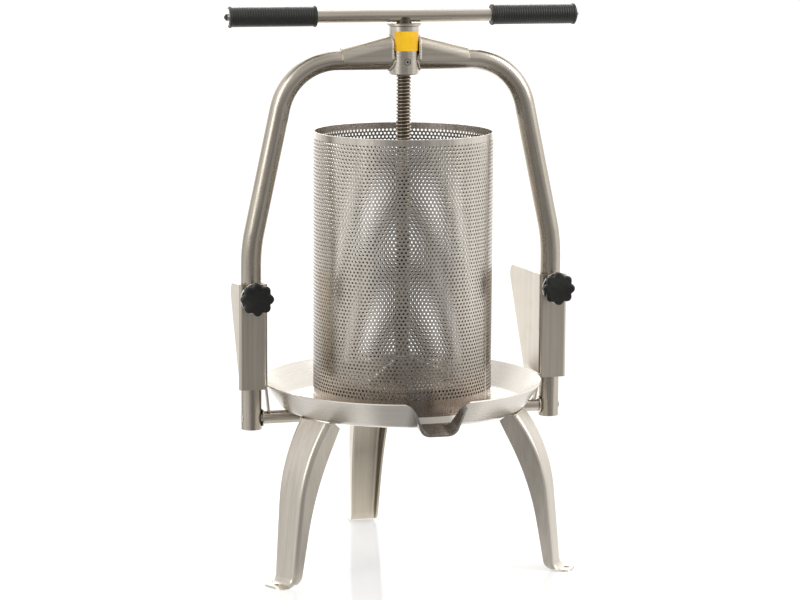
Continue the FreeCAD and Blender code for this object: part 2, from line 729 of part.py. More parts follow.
def make_grip(name, side):
    body = add_body(name)
    profile = add_sketch(body, name + "_profile", "XZ_Plane", None, handle_z)
    far = get("handle_half_length")
    near_end = far - get("grip_length")
    thin, thick = get("grip_diameter") / 2, get("grip_flange_diameter") / 2
    wide = get("grip_flange_width")
    draw_path(profile, [
        (near_end * side, handle_radius), (near_end * side, thick), ((near_end + wide) * side, thick),
        ((near_end + wide) * side, thin), ((far - wide) * side, thin), ((far - wide) * side, thick),
        (far * side, thick), (far * side, handle_radius),
    ])
    turned = spin(body, "Revolution", profile, "H_Axis")
    outer = number(thick)
    level = number(handle_z)
    round_edges(body, "Chamfer", turned, lambda p: near(math.hypot(p.y, p.z - level), outer),
                get("grip_flange_width") / 4)


def make_cap(name, side):
    """Plug in the end of the handle tube, with a flange and a domed button."""
    body = add_body(name)
    profile = add_sketch(body, name + "_profile", "XZ_Plane", None, handle_z)
    far = get("handle_half_length")
    face = far + get("cap_thickness")
    stub = handle_radius - get("handle_wall")
    button = get("button_diameter") / 2
    draw_path(profile, [
        ((far - get("cap_stub")) * side, 0), ((far - get("cap_stub")) * side, stub), (far * side, stub),
        (far * side, get("cap_diameter") / 2), (face * side, get("cap_diameter") / 2),
        (face * side, button), ((face + get("button_height") / 2) * side, button * 0.85),
        ((face + get("button_height")) * side, button * 0.3), ((face + get("button_height")) * side, 0),
    ])
    spin(body, "Revolution", profile, "H_Axis")


# Clamp knobs, one for each post

def make_knob(name, side):
    body = add_body(name)
    x, z = post_x * side, knob_z
    back = web_front + get("rest_gap") * 2 + get("knob_washer_thickness")
    neck = add_sketch(body, name + "_neck", "XZ_Plane", back)
    draw_circle(neck, x, z, get("knob_neck_diameter") / 2)
    extrude(body, "Pad", neck, get("knob_neck"))
    head = add_sketch(body, name + "_head", "XZ_Plane", back + get("knob_neck"))
    draw_circle(head, x, z, get("knob_diameter") / 2)
    block = extrude(body, "Pad", head, get("knob_head"))
    rim = number(get("knob_diameter") / 2)
    cx, cz = number(x), number(z)
    round_edges(body, "Chamfer", block, lambda p: near(math.hypot(p.x - cx, p.z - cz), rim),
                get("knob_edge"))
    count = int(number(get("knob_lobes")))
    scallops = add_sketch(body, name + "_scallops", "XZ_Plane", back + get("knob_neck"))
    bite = get("knob_lobe_diameter") / 2
    for k in range(count):
        angle = (k + 0.5) * 360.0 / count
        out = get("knob_diameter") / 2 + bite * 0.35
        draw_circle(scallops, x + out * math.cos(math.radians(angle)),
                    z + out * math.sin(math.radians(angle)), bite)
    extrude(body, "Pocket", scallops, get("knob_head"), backwards=True)


def make_stud(name, side):
    back = web_front + get("rest_gap") * 2 + get("knob_washer_thickness")
    tip = tube_radius - get("stud_reach")
    stud = part_cylinder(name, get("stud_diameter") / 2, back - tip, TO_FRONT,
                         {"x": post_x * side, "y": -tip, "z": knob_z})
    stud.Label = name


def make_knob_washer(name, side):
    ring(name, get("knob_washer_diameter") / 2, get("stud_diameter") / 2 + get("running_fit"),
         get("knob_washer_thickness"), TO_FRONT,
         {"x": post_x * side, "y": -web_front - get("rest_gap"), "z": knob_z})


# The press, piece by piece

make_tray()
for leg_name, leg_turn in (("leg_rear", 90), ("leg_left", 210), ("leg_right", 330)):
    make_leg(leg_name, leg_turn)
make_cross_bar()
make_hub()
make_bush()
make_set_screw("hub_grub_screw", get("grub_diameter"), get("hub_bore") / 2,
               hub_radius - get("tube_gap"), hub_z + get("grub_rise"))
make_basket()
make_press_plate()
make_press_boss()
make_set_screw("boss_lock_screw", get("lock_screw_diameter"),
               get("groove_diameter") / 2 + get("tube_gap"), boss_radius - get("tube_gap"),
               plate_top + get("lock_screw_height"))
for rib in range(int(number(get("rib_count")))):
    make_rib(rib)
make_thrust_disc()
make_screw()
make_handle()
for hand, sign in SIDES:
    make_pivot_washer("pivot_washer_" + hand, sign)
    make_bracket("bracket_" + hand, sign)
    make_tab("bracket_tab_" + hand, sign)
    make_arch_tube("arch_tube_" + hand, sign)
    make_gusset("arm_gusset_" + hand, sign)
    make_insert("clamp_insert_" + hand, sign)
    make_grip("grip_" + hand, sign)
    make_cap("handle_cap_" + hand, sign)
    make_knob("clamp_knob_" + hand, sign)
    make_stud("clamp_stud_" + hand, sign)
    make_knob_washer("clamp_washer_" + hand, sign)
document.recompute()

# Check and export

NODES = [item for item in document.Objects
         if item.TypeId == "PartDesign::Body"
         or (item.TypeId in ("Part::Cut", "Part::Cylinder") and not item.InList)]
for item in document.Objects:
    if "Invalid" in item.State or "Error" in item.State:
        raise RuntimeError("%s failed: %s" % (item.Name, item.State))
os.makedirs("parts", exist_ok=True)
for node in NODES:
    if node.Shape.isNull() or not node.Shape.isValid() or not node.Shape.Solids:
        raise RuntimeError("%s has no valid solid" % node.Label)
    node.Shape.exportStep("parts/%s.step" % node.Label)
print("%d nodes written" % len(NODES))
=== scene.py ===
import json
import math

import bmesh
import bpy
from mathutils import Matrix, Vector
from mathutils.kdtree import KDTree

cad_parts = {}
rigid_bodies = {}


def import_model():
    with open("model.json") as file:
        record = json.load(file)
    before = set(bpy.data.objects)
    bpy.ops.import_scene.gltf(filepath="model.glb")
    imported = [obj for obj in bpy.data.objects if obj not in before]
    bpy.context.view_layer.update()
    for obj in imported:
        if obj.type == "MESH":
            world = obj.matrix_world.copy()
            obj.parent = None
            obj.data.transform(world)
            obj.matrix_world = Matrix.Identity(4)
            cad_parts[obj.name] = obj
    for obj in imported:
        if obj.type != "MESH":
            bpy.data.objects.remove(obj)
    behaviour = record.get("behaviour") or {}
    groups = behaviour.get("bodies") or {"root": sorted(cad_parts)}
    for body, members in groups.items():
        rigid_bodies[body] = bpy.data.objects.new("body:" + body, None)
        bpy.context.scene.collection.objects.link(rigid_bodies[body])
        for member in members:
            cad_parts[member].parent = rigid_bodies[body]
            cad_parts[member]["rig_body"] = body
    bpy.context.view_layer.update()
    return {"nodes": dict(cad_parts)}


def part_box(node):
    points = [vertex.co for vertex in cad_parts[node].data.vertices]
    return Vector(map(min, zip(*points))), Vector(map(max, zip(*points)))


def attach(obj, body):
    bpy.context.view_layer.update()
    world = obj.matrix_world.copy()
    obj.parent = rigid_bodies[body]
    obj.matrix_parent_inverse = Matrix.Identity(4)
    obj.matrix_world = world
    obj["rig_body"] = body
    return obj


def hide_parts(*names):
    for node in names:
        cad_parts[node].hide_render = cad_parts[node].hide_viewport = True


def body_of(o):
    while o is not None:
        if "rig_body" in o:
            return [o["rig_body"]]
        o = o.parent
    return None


# The look of the fruit press. Metres, +Z up, the spout towards -Y.

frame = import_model()
mm = 0.001


# Shader and geometry trees

class Value:
    """A socket of a tree. Sums on it add Math nodes."""

    def __init__(self, tree, socket):
        self.tree = tree
        self.socket = socket

    def maths(self, operation, *values):
        return self.tree.add("ShaderNodeMath", {"operation": operation}, dict(enumerate(values)))

    def __add__(self, other):
        return self.maths("ADD", self, other)

    def __sub__(self, other):
        return self.maths("SUBTRACT", self, other)

    def __rsub__(self, other):
        return self.maths("SUBTRACT", other, self)

    def __mul__(self, other):
        return self.maths("MULTIPLY", self, other)

    def __truediv__(self, other):
        return self.maths("DIVIDE", self, other)

    def __mod__(self, other):
        return self.maths("FLOORED_MODULO", self, other)

    def __pow__(self, other):
        return self.maths("POWER", self, other)

    def __gt__(self, other):
        return self.maths("GREATER_THAN", self, other)

    def __lt__(self, other):
        return self.maths("LESS_THAN", self, other)

    __radd__ = __add__

    def of(self, operation, *others):
        return self.maths(operation, self, *others)

    def clamp(self):
        return self.tree.add("ShaderNodeClamp", {}, {"Value": self})

    def ramp(self, low, high, first=0.0, last=1.0):
        """Goes smoothly from first to last while this value goes from low to high."""
        return self.tree.add("ShaderNodeMapRange", {"interpolation_type": "SMOOTHSTEP"}, {
            "Value": self, "From Min": low, "From Max": high, "To Min": first, "To Max": last})

    def parts(self):
        split = self.tree.add("ShaderNodeSeparateXYZ", {}, {0: self})
        return [Value(self.tree, socket) for socket in split.socket.node.outputs]


class Tree:
    def __init__(self, nodes_of):
        self.tree = nodes_of

    def add(self, kind, settings=None, inputs=None, output=0):
        """Adds a node: its type, its settings, then the values or links of its sockets."""
        node = self.tree.nodes.new(kind)
        for name, value in (settings or {}).items():
            if name == "stops":
                fill_ramp(node.color_ramp, value)
            else:
                setattr(node, name, value)
        for key, value in (inputs or {}).items():
            if isinstance(value, Value):
                self.tree.links.new(value.socket, node.inputs[key])
            else:
                node.inputs[key].default_value = value
        return Value(self, node.outputs[output]) if len(node.outputs) else node

    def vector(self, x=0.0, y=0.0, z=0.0):
        return self.add("ShaderNodeCombineXYZ", {}, {0: x, 1: y, 2: z})

    def scaled(self, vector, factors):
        return self.add("ShaderNodeVectorMath", {"operation": "MULTIPLY"}, {0: vector, 1: factors})

    def noise(self, place, scale, detail=2.0, roughness=0.5):
        return self.add("ShaderNodeTexNoise", {}, {
            "Vector": place, "Scale": scale, "Detail": detail, "Roughness": roughness})

    def tint(self, factor, first, second):
        return self.add("ShaderNodeMix", {"data_type": "RGBA"}, {0: factor, 6: first, 7: second}, output=2)

    def unit_grid(self, columns, rows):
        """A grid of points, and how far each lies along both of its sides, from 0 to 1."""
        grid = self.add("GeometryNodeMeshGrid", {}, {
            "Size X": 1.0, "Size Y": 1.0, "Vertices X": columns, "Vertices Y": rows})
        x, y, _ = self.add("GeometryNodeInputPosition").parts()
        return grid, x + 0.5, y + 0.5

    def polar(self, angle, radius, height):
        return self.vector(angle.of("COSINE") * radius, angle.of("SINE") * radius, height)

    def moved(self, shape, place):
        return self.add("GeometryNodeSetPosition", {}, {"Geometry": shape, "Position": place})

    def store(self, shape, name, value, kind="FLOAT"):
        return self.add("GeometryNodeStoreNamedAttribute", {"data_type": kind}, {
            "Geometry": shape, "Name": name, "Value": value})


def fill_ramp(ramp, stops):
    while len(ramp.elements) < len(stops):
        ramp.elements.new(1.0)
    for element, (place, colour) in zip(ramp.elements, stops):
        element.position = place
        element.color = colour


def rgb(red, green, blue):
    """A colour from its sRGB values, 0 to 255."""
    def linear(value):
        value = value / 255
        return value / 12.92 if value <= 0.04045 else ((value + 0.055) / 1.055) ** 2.4
    return (linear(red), linear(green), linear(blue), 1.0)


def new_finish(name):
    material = bpy.data.materials.new(name)
    material.use_nodes = True
    material.node_tree.nodes.clear()
    return material, Tree(material.node_tree)


def close_finish(tree, inputs):
    shader = tree.add("ShaderNodeBsdfPrincipled", {}, inputs)
    tree.add("ShaderNodeOutputMaterial", {}, {"Surface": shader})


# Finishes

RIB_PERIOD = 3.1 * mm
WHITE = (1, 1, 1, 1)
WARM_WHITE = (1.0, 0.985, 0.96, 1)


def painted_basket_shade(tree, grain, place, colour):
    """Painted shade darkens the sheet towards its foot, a brown band just above the foot is a painted
    reflection of the tray, and painted shade darkens the inner side below the plain band at the rim.
    """
    height, _, depth = grain.parts()
    low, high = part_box("basket_wall")
    tall = high.z - low.z
    # Painted shade on the inner side, below the plain band at the rim.
    inner_shade = (depth * -1).ramp(0.1 * mm, 1.2 * mm, 0.0, 0.62)
    inner_shade = inner_shade * height.ramp(tall - 12 * mm, tall - 9 * mm, 1.0, 0.3)
    # Painted shade, strongest at the foot and fading upwards.
    colour = tree.tint(height.ramp(0.0, 140 * mm, 0.62, 0.0), colour, rgb(112, 98, 86))
    # Painted reflection of the tray: a brown band just above the foot.
    colour = tree.tint(height.ramp(4 * mm, 45 * mm, 0.4, 0.0), colour, rgb(92, 70, 58))
    return tree.tint(inner_shade, colour, rgb(66, 57, 50))


def painted_spout_shade(tree, grain, place, colour):
    """Painted shade that darkens the pouring spout next to the basket's foot."""
    x, y, _ = place.parts()
    # Painted shade over the spout beyond the basket's foot.
    spout_shade_mask = x.of("ABSOLUTE").ramp(24 * mm, 38 * mm, 0.6, 0.0) * y.ramp(-118 * mm, -106 * mm, 1.0, 0.0)
    return tree.tint(spout_shade_mask, colour, rgb(84, 80, 72))


def steel(name, dark, light, roughness, streak, coarse=1.0, shade_paint=None):
    """Brushed stainless. The grain attribute says how far along and across its marks a point lies."""
    material, tree = new_finish(name)
    grain = tree.add("ShaderNodeAttribute", {"attribute_name": "grain"}, output=1)
    place = tree.add("ShaderNodeTexCoord", {}, output=3)
    bands = tree.noise(tree.scaled(grain, (2.5, 240.0 * coarse, 240.0 * coarse)), 1.0, 3.0, 0.6)
    lines = tree.noise(tree.scaled(grain, (16.0, 1700.0, 1700.0)), 1.0, 2.0, 0.7)
    cloud = tree.noise(place, 9.0, 3.0)
    smudge = tree.noise(place, 45.0, 4.0, 0.6)
    shade = (bands - 0.5) * streak + (lines - 0.5) * (streak * 0.6) + (cloud - 0.5) * 0.14 + 0.5
    colour = tree.tint(shade.clamp(), dark, light)
    # Painted shade and reflection that some finishes add to their colour.
    if shade_paint:
        colour = shade_paint(tree, grain, place, colour)
    rough = roughness + (bands - 0.5) * 0.1 + smudge.ramp(0.5, 0.75) * 0.05 + (lines - 0.5) * 0.08
    bump = tree.add("ShaderNodeBump", {}, {
        "Strength": 0.05, "Distance": 0.0004, "Height": lines + bands * 0.5})
    close_finish(tree, {
        "Base Color": colour, "Metallic": 1.0, "Roughness": rough, "Normal": bump})
    return material


def plastic(name, base, worn, roughness, grit, relief, sheen=0.5, ribs=0.0):
    """Moulded plastic with a fine grit, a little paler where it is rubbed. Its ribs run round the X axis."""
    material, tree = new_finish(name)
    place = tree.add("ShaderNodeTexCoord", {}, output=3)
    specks = tree.noise(place, grit, 3.0, 0.6)
    rub = tree.noise(place, 38.0, 4.0, 0.55).ramp(0.5, 0.72)
    dust = tree.noise(place, 160.0, 2.0).ramp(0.58, 0.75)
    colour = tree.tint(rub * 0.55 + dust * 0.2, base, worn)
    wave = (place.parts()[0] * (2 * math.pi / RIB_PERIOD)).of("SINE")
    bump = tree.add("ShaderNodeBump", {}, {
        "Strength": relief, "Distance": 0.0003, "Height": specks + wave * ribs})
    close_finish(tree, {
        "Base Color": colour, "Roughness": roughness + rub * 0.12 - specks * 0.08,
        "Specular IOR Level": sheen, "Normal": bump})
    return material


def thread_steel():
    """Screw steel: crests polished by use, grease and dirt in the root."""
    material, tree = new_finish("thread_steel")
    depth = tree.add("ShaderNodeAttribute", {"attribute_name": "depth"}, output=2)
    place = tree.add("ShaderNodeTexCoord", {}, output=3)
    cloud = tree.noise(place, 90.0, 4.0, 0.6)
    crest = (depth + (cloud - 0.5) * 0.5).ramp(0.25, 0.95)
    colour = tree.tint(crest, rgb(70, 58, 46), rgb(176, 164, 148))
    close_finish(tree, {
        "Base Color": colour, "Metallic": 0.9, "Roughness": 0.52 - crest * 0.2,
        "Normal": tree.add("ShaderNodeBump", {}, {
            "Strength": 0.15, "Distance": 0.0003, "Height": tree.noise(place, 900.0, 2.0)})})
    return material


def brass():
    material, tree = new_finish("bush_brass")
    place = tree.add("ShaderNodeTexCoord", {}, output=3)
    cloud = tree.noise(place, 70.0, 4.0, 0.6)
    rings = tree.noise(tree.scaled(place, (8.0, 8.0, 1400.0)), 1.0, 2.0)
    colour = tree.tint(cloud.ramp(0.35, 0.7), rgb(150, 112, 58), rgb(206, 172, 104))
    close_finish(tree, {
        "Base Color": colour, "Metallic": 1.0, "Roughness": 0.3 + rings * 0.15,
        "Normal": tree.add("ShaderNodeBump", {}, {
            "Strength": 0.1, "Distance": 0.0002, "Height": rings})})
    return material


def bare_label():
    """A plain yellow label: satin film, a little faded and scuffed at its edges."""
    material, tree = new_finish("bare_label")
    place = tree.add("ShaderNodeTexCoord", {}, output=3)
    fade = tree.noise(place, 45.0, 3.0)
    scuff = tree.noise(place, 420.0, 4.0, 0.65).ramp(0.62, 0.78)
    colour = tree.tint(fade.ramp(0.3, 0.7), rgb(236, 176, 10), rgb(248, 200, 26))
    colour = tree.tint(scuff * 0.35, colour, rgb(228, 200, 120))
    close_finish(tree, {
        "Base Color": colour, "Roughness": 0.34 + scuff * 0.25, "Specular IOR Level": 0.4,
        "Normal": tree.add("ShaderNodeBump", {}, {
            "Strength": 0.12, "Distance": 0.0002, "Height": tree.noise(place, 260.0, 2.0)})})
    return material


def weld_metal():
    """Weld beads: bright crests, straw and blue heat tint between them."""
    material, tree = new_finish("weld_metal")
    place = tree.add("ShaderNodeTexCoord", {}, output=3)
    heat = tree.noise(place, 120.0, 3.0)
    colour = tree.add("ShaderNodeValToRGB", {"stops": [
        (0.30, rgb(164, 157, 149)), (0.45, rgb(204, 195, 181)),
        (0.60, rgb(224, 218, 208)), (0.75, rgb(186, 173, 152))]}, {0: heat})
    close_finish(tree, {
        "Base Color": colour, "Metallic": 1.0, "Roughness": 0.3 + heat * 0.2,
        "Normal": tree.add("ShaderNodeBump", {}, {
            "Strength": 0.2, "Distance": 0.0003, "Height": tree.noise(place, 700.0, 2.0)})})
    return material


tube_steel = steel("tube_steel", rgb(160, 151, 139), rgb(216, 209, 198), 0.27, 1.6, 0.8)
sheet_steel = steel("sheet_steel", rgb(178, 169, 156), rgb(220, 213, 202), 0.33, 1.0)
leg_steel = steel("leg_steel", rgb(182, 174, 163), rgb(226, 220, 210), 0.34, 0.9)
# Rougher steel for the inside of the leg channels, painted darker as painted shade.
channel_shade_steel = steel("channel_shade_steel", rgb(136, 129, 117), rgb(176, 169, 156), 0.42, 0.7)
turned_steel = steel("turned_steel", rgb(186, 178, 167), rgb(230, 224, 214), 0.27, 0.9)
# The tray's finish carries painted shade in its spout.
tray_steel = steel("tray_steel", rgb(208, 203, 195), rgb(236, 232, 226), 0.27, 0.6, 1.4, painted_spout_shade)
# The basket's finish carries painted shade and a painted reflection of the tray.
basket_steel = steel("basket_steel", rgb(192, 184, 175), rgb(238, 233, 225), 0.27, 0.9, shade_paint=painted_basket_shade)
chrome_steel = steel("chrome_steel", rgb(200, 198, 194), rgb(236, 235, 232), 0.14, 0.5)
# Dark steel; it also paints the shadow ring round the grub screw.
dark_steel_and_gap_shadow = steel("dark_steel_and_gap_shadow", rgb(62, 56, 50), rgb(120, 110, 98), 0.42, 1.2)
grip_black = plastic("grip_black", rgb(28, 28, 28), rgb(50, 50, 48), 0.42, 1500.0, 0.3, 0.5, 1.5)
knob_black = plastic("knob_black", rgb(22, 22, 21), rgb(44, 44, 42), 0.5, 1900.0, 0.3, 0.35)
# Black plastic of the handle caps; it also paints the shade in the grub screw's socket.
cap_black = plastic("cap_black", rgb(40, 40, 40), rgb(70, 70, 68), 0.4, 1200.0, 0.15)
screw_finish = thread_steel()
bush_finish = brass()
label_finish = bare_label()
weld_finish = weld_metal()


# Grain: how far along the brush marks a point lies, and where across them

def straight_grain(axis):
    """Brush marks along X, Y or Z."""
    order = {"X": (0, 1, 2), "Y": (1, 2, 0), "Z": (2, 0, 1)}[axis]
    return lambda p: Vector([p[index] for index in order])


def turned_grain(p):
    """Marks of turning about the upright axis of the press."""
    return Vector((p.x + p.y, math.hypot(p.x, p.y), p.z))


def cross_grain(z):
    """Marks of turning about an axis along X."""
    return lambda p: Vector((p.y + p.z, math.hypot(p.y, p.z - z), p.x))


def knob_grain(x, z):
    """Marks of turning about an axis along Y."""
    return lambda p: Vector((p.x + p.z, math.hypot(p.x - x, p.z - z), p.y))


def heading(points, index):
    """Which way a line of points runs at one of them."""
    return (points[min(index + 1, len(points) - 1)] - points[max(index - 1, 0)]).normalized()


def path_grain(points):
    """Brush marks along a bent tube whose middle line lies in the XZ plane."""
    tree = KDTree(len(points))
    lengths = [0.0]
    for first, second in zip(points, points[1:]):
        lengths.append(lengths[-1] + (second - first).length)
    for index, point in enumerate(points):
        tree.insert(point, index)
    tree.balance()

    def rule(p):
        near, index, _ = tree.find(Vector((p.x, 0, p.z)))
        run = heading(points, index)
        offset = p - near
        return Vector((lengths[index] + offset.dot(run), offset.dot(Vector((run.z, 0, -run.x))), p.y))
    return rule


def rounded_path(corners, step=0.002):
    """Points along straight runs whose corners are rounded: each corner is (x, z, radius)."""
    points = [Vector((corners[0][0], 0, corners[0][1]))]
    for before, corner, after in zip(corners, corners[1:], corners[2:]):
        middle = Vector((corner[0], 0, corner[1]))
        back = (Vector((before[0], 0, before[1])) - middle).normalized()
        ahead = (Vector((after[0], 0, after[1])) - middle).normalized()
        half = back.angle(ahead) / 2
        reach = corner[2] / math.tan(half)
        centre = middle + (back + ahead).normalized() * (corner[2] / math.sin(half))
        start, end = middle + back * reach - centre, middle + ahead * reach - centre
        add_run(points, centre + start, step)
        count = max(2, int(start.angle(end) * corner[2] / step))
        for index in range(1, count + 1):
            points.append(centre + start.slerp(end, index / count).normalized() * corner[2])
    last = corners[-1]
    add_run(points, Vector((last[0], 0, last[1])), step)
    return points


def add_run(points, end, step):
    start = points[-1].copy()
    count = max(1, int((end - start).length / step))
    points.extend(start.lerp(end, index / count) for index in range(1, count + 1))


def set_grain(mesh, rule):
    if "grain" in mesh.attributes:
        mesh.attributes.remove(mesh.attributes["grain"])
    marks = mesh.attributes.new("grain", "FLOAT_VECTOR", "POINT")
    for vertex, mark in zip(mesh.vertices, marks.data):
        mark.vector = rule(vertex.co)


# Pieces

def add_piece(name, mesh, body, slot, finish=None, nodes=()):
    """A finished piece, its place in its mesh, which rides on a body and may stand for CAD nodes."""
    piece = bpy.data.objects.new(name, mesh)
    bpy.context.scene.collection.objects.link(piece)
    if finish:
        mesh.materials.clear()
        mesh.materials.append(finish)
    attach(piece, body)
    if nodes:
        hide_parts(*nodes)
    return piece


def smooth_by_angle(shape, degrees):
    limit = math.radians(degrees)
    for face in shape.faces:
        face.smooth = True
    for edge in shape.edges:
        edge.smooth = len(edge.link_faces) == 2 and edge.calc_face_angle(0.0) < limit


def widen_spout(mesh):
    """Spreads the pouring spout about the tray's axis: it is a fifth wider in the photograph."""
    full, fade, share = 0.22, 0.30, 0.21
    for vertex in mesh.vertices:
        turned = math.atan2(vertex.co.x, -vertex.co.y)
        past = min(1.0, max(0.0, (abs(turned) - full) / fade))
        wider = share * (1 - past * past * (3 - 2 * past))
        vertex.co.rotate(Matrix.Rotation(turned * wider, 3, "Z"))


def shade_evenly(piece):
    even = piece.modifiers.new("even_shading", "WEIGHTED_NORMAL")
    even.keep_sharp = True


def second_finish(mesh, finish, chosen):
    """Gives another finish to some faces: chosen holds a true or false for each face."""
    mesh.materials.append(finish)
    for face, other in zip(mesh.polygons, chosen):
        face.material_index = int(other)


def middle_of(node):
    low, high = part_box(node)
    return (low + high) / 2


def refine(node, finish, grain, degrees=30.0, reshape=None):
    """Stands a smooth-shaded copy in for a CAD node."""
    source = frame["nodes"][node]
    mesh = source.data.copy()
    if reshape:
        reshape(mesh)
    shape = bmesh.new()
    shape.from_mesh(mesh)
    bmesh.ops.remove_doubles(shape, verts=shape.verts, dist=2e-6)
    smooth_by_angle(shape, degrees)
    shape.to_mesh(mesh)
    shape.free()
    set_grain(mesh, grain)
    slot = source.data.materials[0].name.split(".")[0]
    piece = add_piece(node + "_finished", mesh, body_of(source)[0], slot, finish, [node])
    shade_evenly(piece)
    return piece


def grow(name, plan, sizes, finish):
    """Runs a geometry tree and returns its result as a plain mesh."""
    group = bpy.data.node_groups.new(name, "GeometryNodeTree")
    for size in sizes:
        group.interface.new_socket(size, in_out="INPUT", socket_type="NodeSocketFloat")
    group.interface.new_socket("Geometry", in_out="OUTPUT", socket_type="NodeSocketGeometry")
    tree = Tree(group)
    entry = tree.add("NodeGroupInput").socket.node
    shape = plan(tree, {size: Value(tree, entry.outputs[size]) for size in sizes})
    real = tree.add("GeometryNodeRealizeInstances", {}, {"Geometry": shape})
    dressed = tree.add("GeometryNodeSetMaterial", {}, {"Geometry": real, "Material": finish})
    tree.add("NodeGroupOutput", {}, {0: dressed})
    holder = bpy.data.objects.new(name + "_holder", bpy.data.meshes.new(name + "_holder"))
    bpy.context.scene.collection.objects.link(holder)
    modifier = holder.modifiers.new(name, "NODES")
    modifier.node_group = group
    for item in group.interface.items_tree:
        if item.in_out == "INPUT":
            modifier[item.identifier] = float(sizes[item.name])
    graph = bpy.context.evaluated_depsgraph_get()
    mesh = bpy.data.meshes.new_from_object(holder.evaluated_get(graph))
    mesh.name = name
    holder.modifiers.clear()
    bpy.data.objects.remove(holder)
    return mesh


def weld_up(mesh, distance=2e-6, degrees=40.0, fill=False, outward=None):
    """Merges doubles, closes open ends, points the faces outwards and shades by angle."""
    shape = bmesh.new()
    shape.from_mesh(mesh)
    bmesh.ops.remove_doubles(shape, verts=shape.verts, dist=distance)
    bmesh.ops.dissolve_degenerate(shape, edges=shape.edges, dist=distance)
    if fill:
        bmesh.ops.holes_fill(shape, edges=[e for e in shape.edges if e.is_boundary], sides=0)
    if outward is None:
        bmesh.ops.recalc_face_normals(shape, faces=shape.faces)
    else:
        shape.normal_update()
        if not outward(shape):
            bmesh.ops.reverse_faces(shape, faces=shape.faces)
    smooth_by_angle(shape, degrees)
    shape.to_mesh(mesh)
    shape.free()
    return mesh


def mesh_from(shape, name):
    mesh = bpy.data.meshes.new(name)
    shape.to_mesh(mesh)
    shape.free()
    return mesh


def bridge(shape, first, second):
    """Faces between two closed rings of points."""
    for index in range(len(first)):
        after = (index + 1) % len(first)
        shape.faces.new((first[index], first[after], second[after], second[index]))


def skin(shape, rings):
    """Faces along a row of closed rings, and over both of its ends."""
    for first, second in zip(rings, rings[1:]):
        bridge(shape, first, second)
    shape.faces.new(rings[0])
    shape.faces.new(rings[-1][::-1])


def turn(name, profile, steps):
    """A ring turned about an upright axis from a closed profile of (radius, height)."""
    shape = bmesh.new()
    rings = []
    for index in range(steps):
        angle = 2 * math.pi * index / steps
        rings.append([shape.verts.new((r * math.cos(angle), r * math.sin(angle), z)) for r, z in profile])
    for first, second in zip(rings, rings[1:] + rings[:1]):
        for index in range(len(profile)):
            after = (index + 1) % len(profile)
            shape.faces.new((first[index], second[index], second[after], first[after]))
    bmesh.ops.recalc_face_normals(shape, faces=shape.faces)
    return weld_up(mesh_from(shape, name))


# Perforated basket: a staggered field of six-sided cells, each with a round hole, rolled to a tube

wall_low, wall_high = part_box("basket_wall")
BASKET = {
    "Radius": wall_high.x, "Sheet": 1.5 * mm, "Foot": wall_low.z, "Height": wall_high.z - wall_low.z,
    "Foot band": 18.5 * mm, "Rim band": 9.5 * mm, "Hole": 3.0 * mm,
    "Columns": 138, "Rows": 71, "First column": 0, "Last column": 138, "Edge round": 0.35 * mm,
}


def cell_plan(tree, size, pitch):
    """One cell: outline, hole edge, hole edge at the back, outline at the back."""
    corners, steps, rings = 6, 12, 3
    grid, around, outwards = tree.unit_grid(steps + 1, rings + 1)
    step = (around * steps).of("ROUND")
    ring = (outwards * rings).of("ROUND")
    outline = (ring < 0.5) + (ring > 2.5)
    back = ring > 1.5
    reach = pitch * 0.5 + (step % (steps / corners)) * (pitch * (1 / math.sqrt(3) - 0.5))
    radius = outline * reach + (1 - outline) * (size["Hole"] * 0.5)
    place = tree.polar(step * (2 * math.pi / steps), radius, back * size["Sheet"] * -1)
    return tree.moved(tree.store(grid, "outline", outline), place)


def basket_plan(tree, size):
    """The field of cells is laid out flat. Its outer rows then reach the rim and foot, and it is rolled."""
    low, high = size["Foot band"], size["Height"] - size["Rim band"]
    rise = (high - low) / (size["Rows"] - 1)
    pitch = (size["Radius"] - size["Sheet"] * 0.5) * (2 * math.pi) / size["Columns"]
    columns = size["Last column"] - size["First column"]
    field = tree.add("GeometryNodeMeshGrid", {}, {
        "Size X": columns - 1, "Size Y": size["Rows"] - 1, "Vertices X": columns, "Vertices Y": size["Rows"]})
    x, y, _ = tree.add("GeometryNodeInputPosition").parts()
    column = (x + (columns - 1) * 0.5 + size["First column"]).of("ROUND")
    row = (y + (size["Rows"] - 1) * 0.5).of("ROUND")
    spread = tree.moved(field, tree.vector((column + (row % 2) * 0.5) * pitch, row * rise + low, 0.0))
    cells = tree.add("GeometryNodeInstanceOnPoints", {}, {
        "Points": spread, "Instance": cell_plan(tree, size, pitch)})
    flat = tree.add("GeometryNodeRealizeInstances", {}, {"Geometry": cells})
    x, y, z = tree.add("GeometryNodeInputPosition").parts()
    outline = tree.add("GeometryNodeInputNamedAttribute", {"data_type": "FLOAT"}, {"Name": "outline"})
    above = outline * (y > high + pitch * 0.2)
    below = outline * (y < low - pitch * 0.2)
    top, bottom = size["Height"] - size["Edge round"], size["Edge round"]
    height = (1 - above - below) * y + above * top + below * bottom
    marked = tree.store(flat, "grain", tree.vector(height, x, z), "FLOAT_VECTOR")
    angle = x / pitch * (2 * math.pi) / size["Columns"]
    return tree.moved(marked, tree.polar(angle, size["Radius"] + z, height + size["Foot"]))


def faces_outwards(shape):
    """True if the faces of the tube's outer side point away from its axis."""
    score = 0.0
    for face in shape.faces:
        middle = face.calc_center_median()
        outward = Vector((middle.x, middle.y, 0)).normalized()
        if middle.to_2d().length > BASKET["Radius"] - BASKET["Sheet"] * 0.1:
            score += face.normal.dot(outward)
    return score > 0


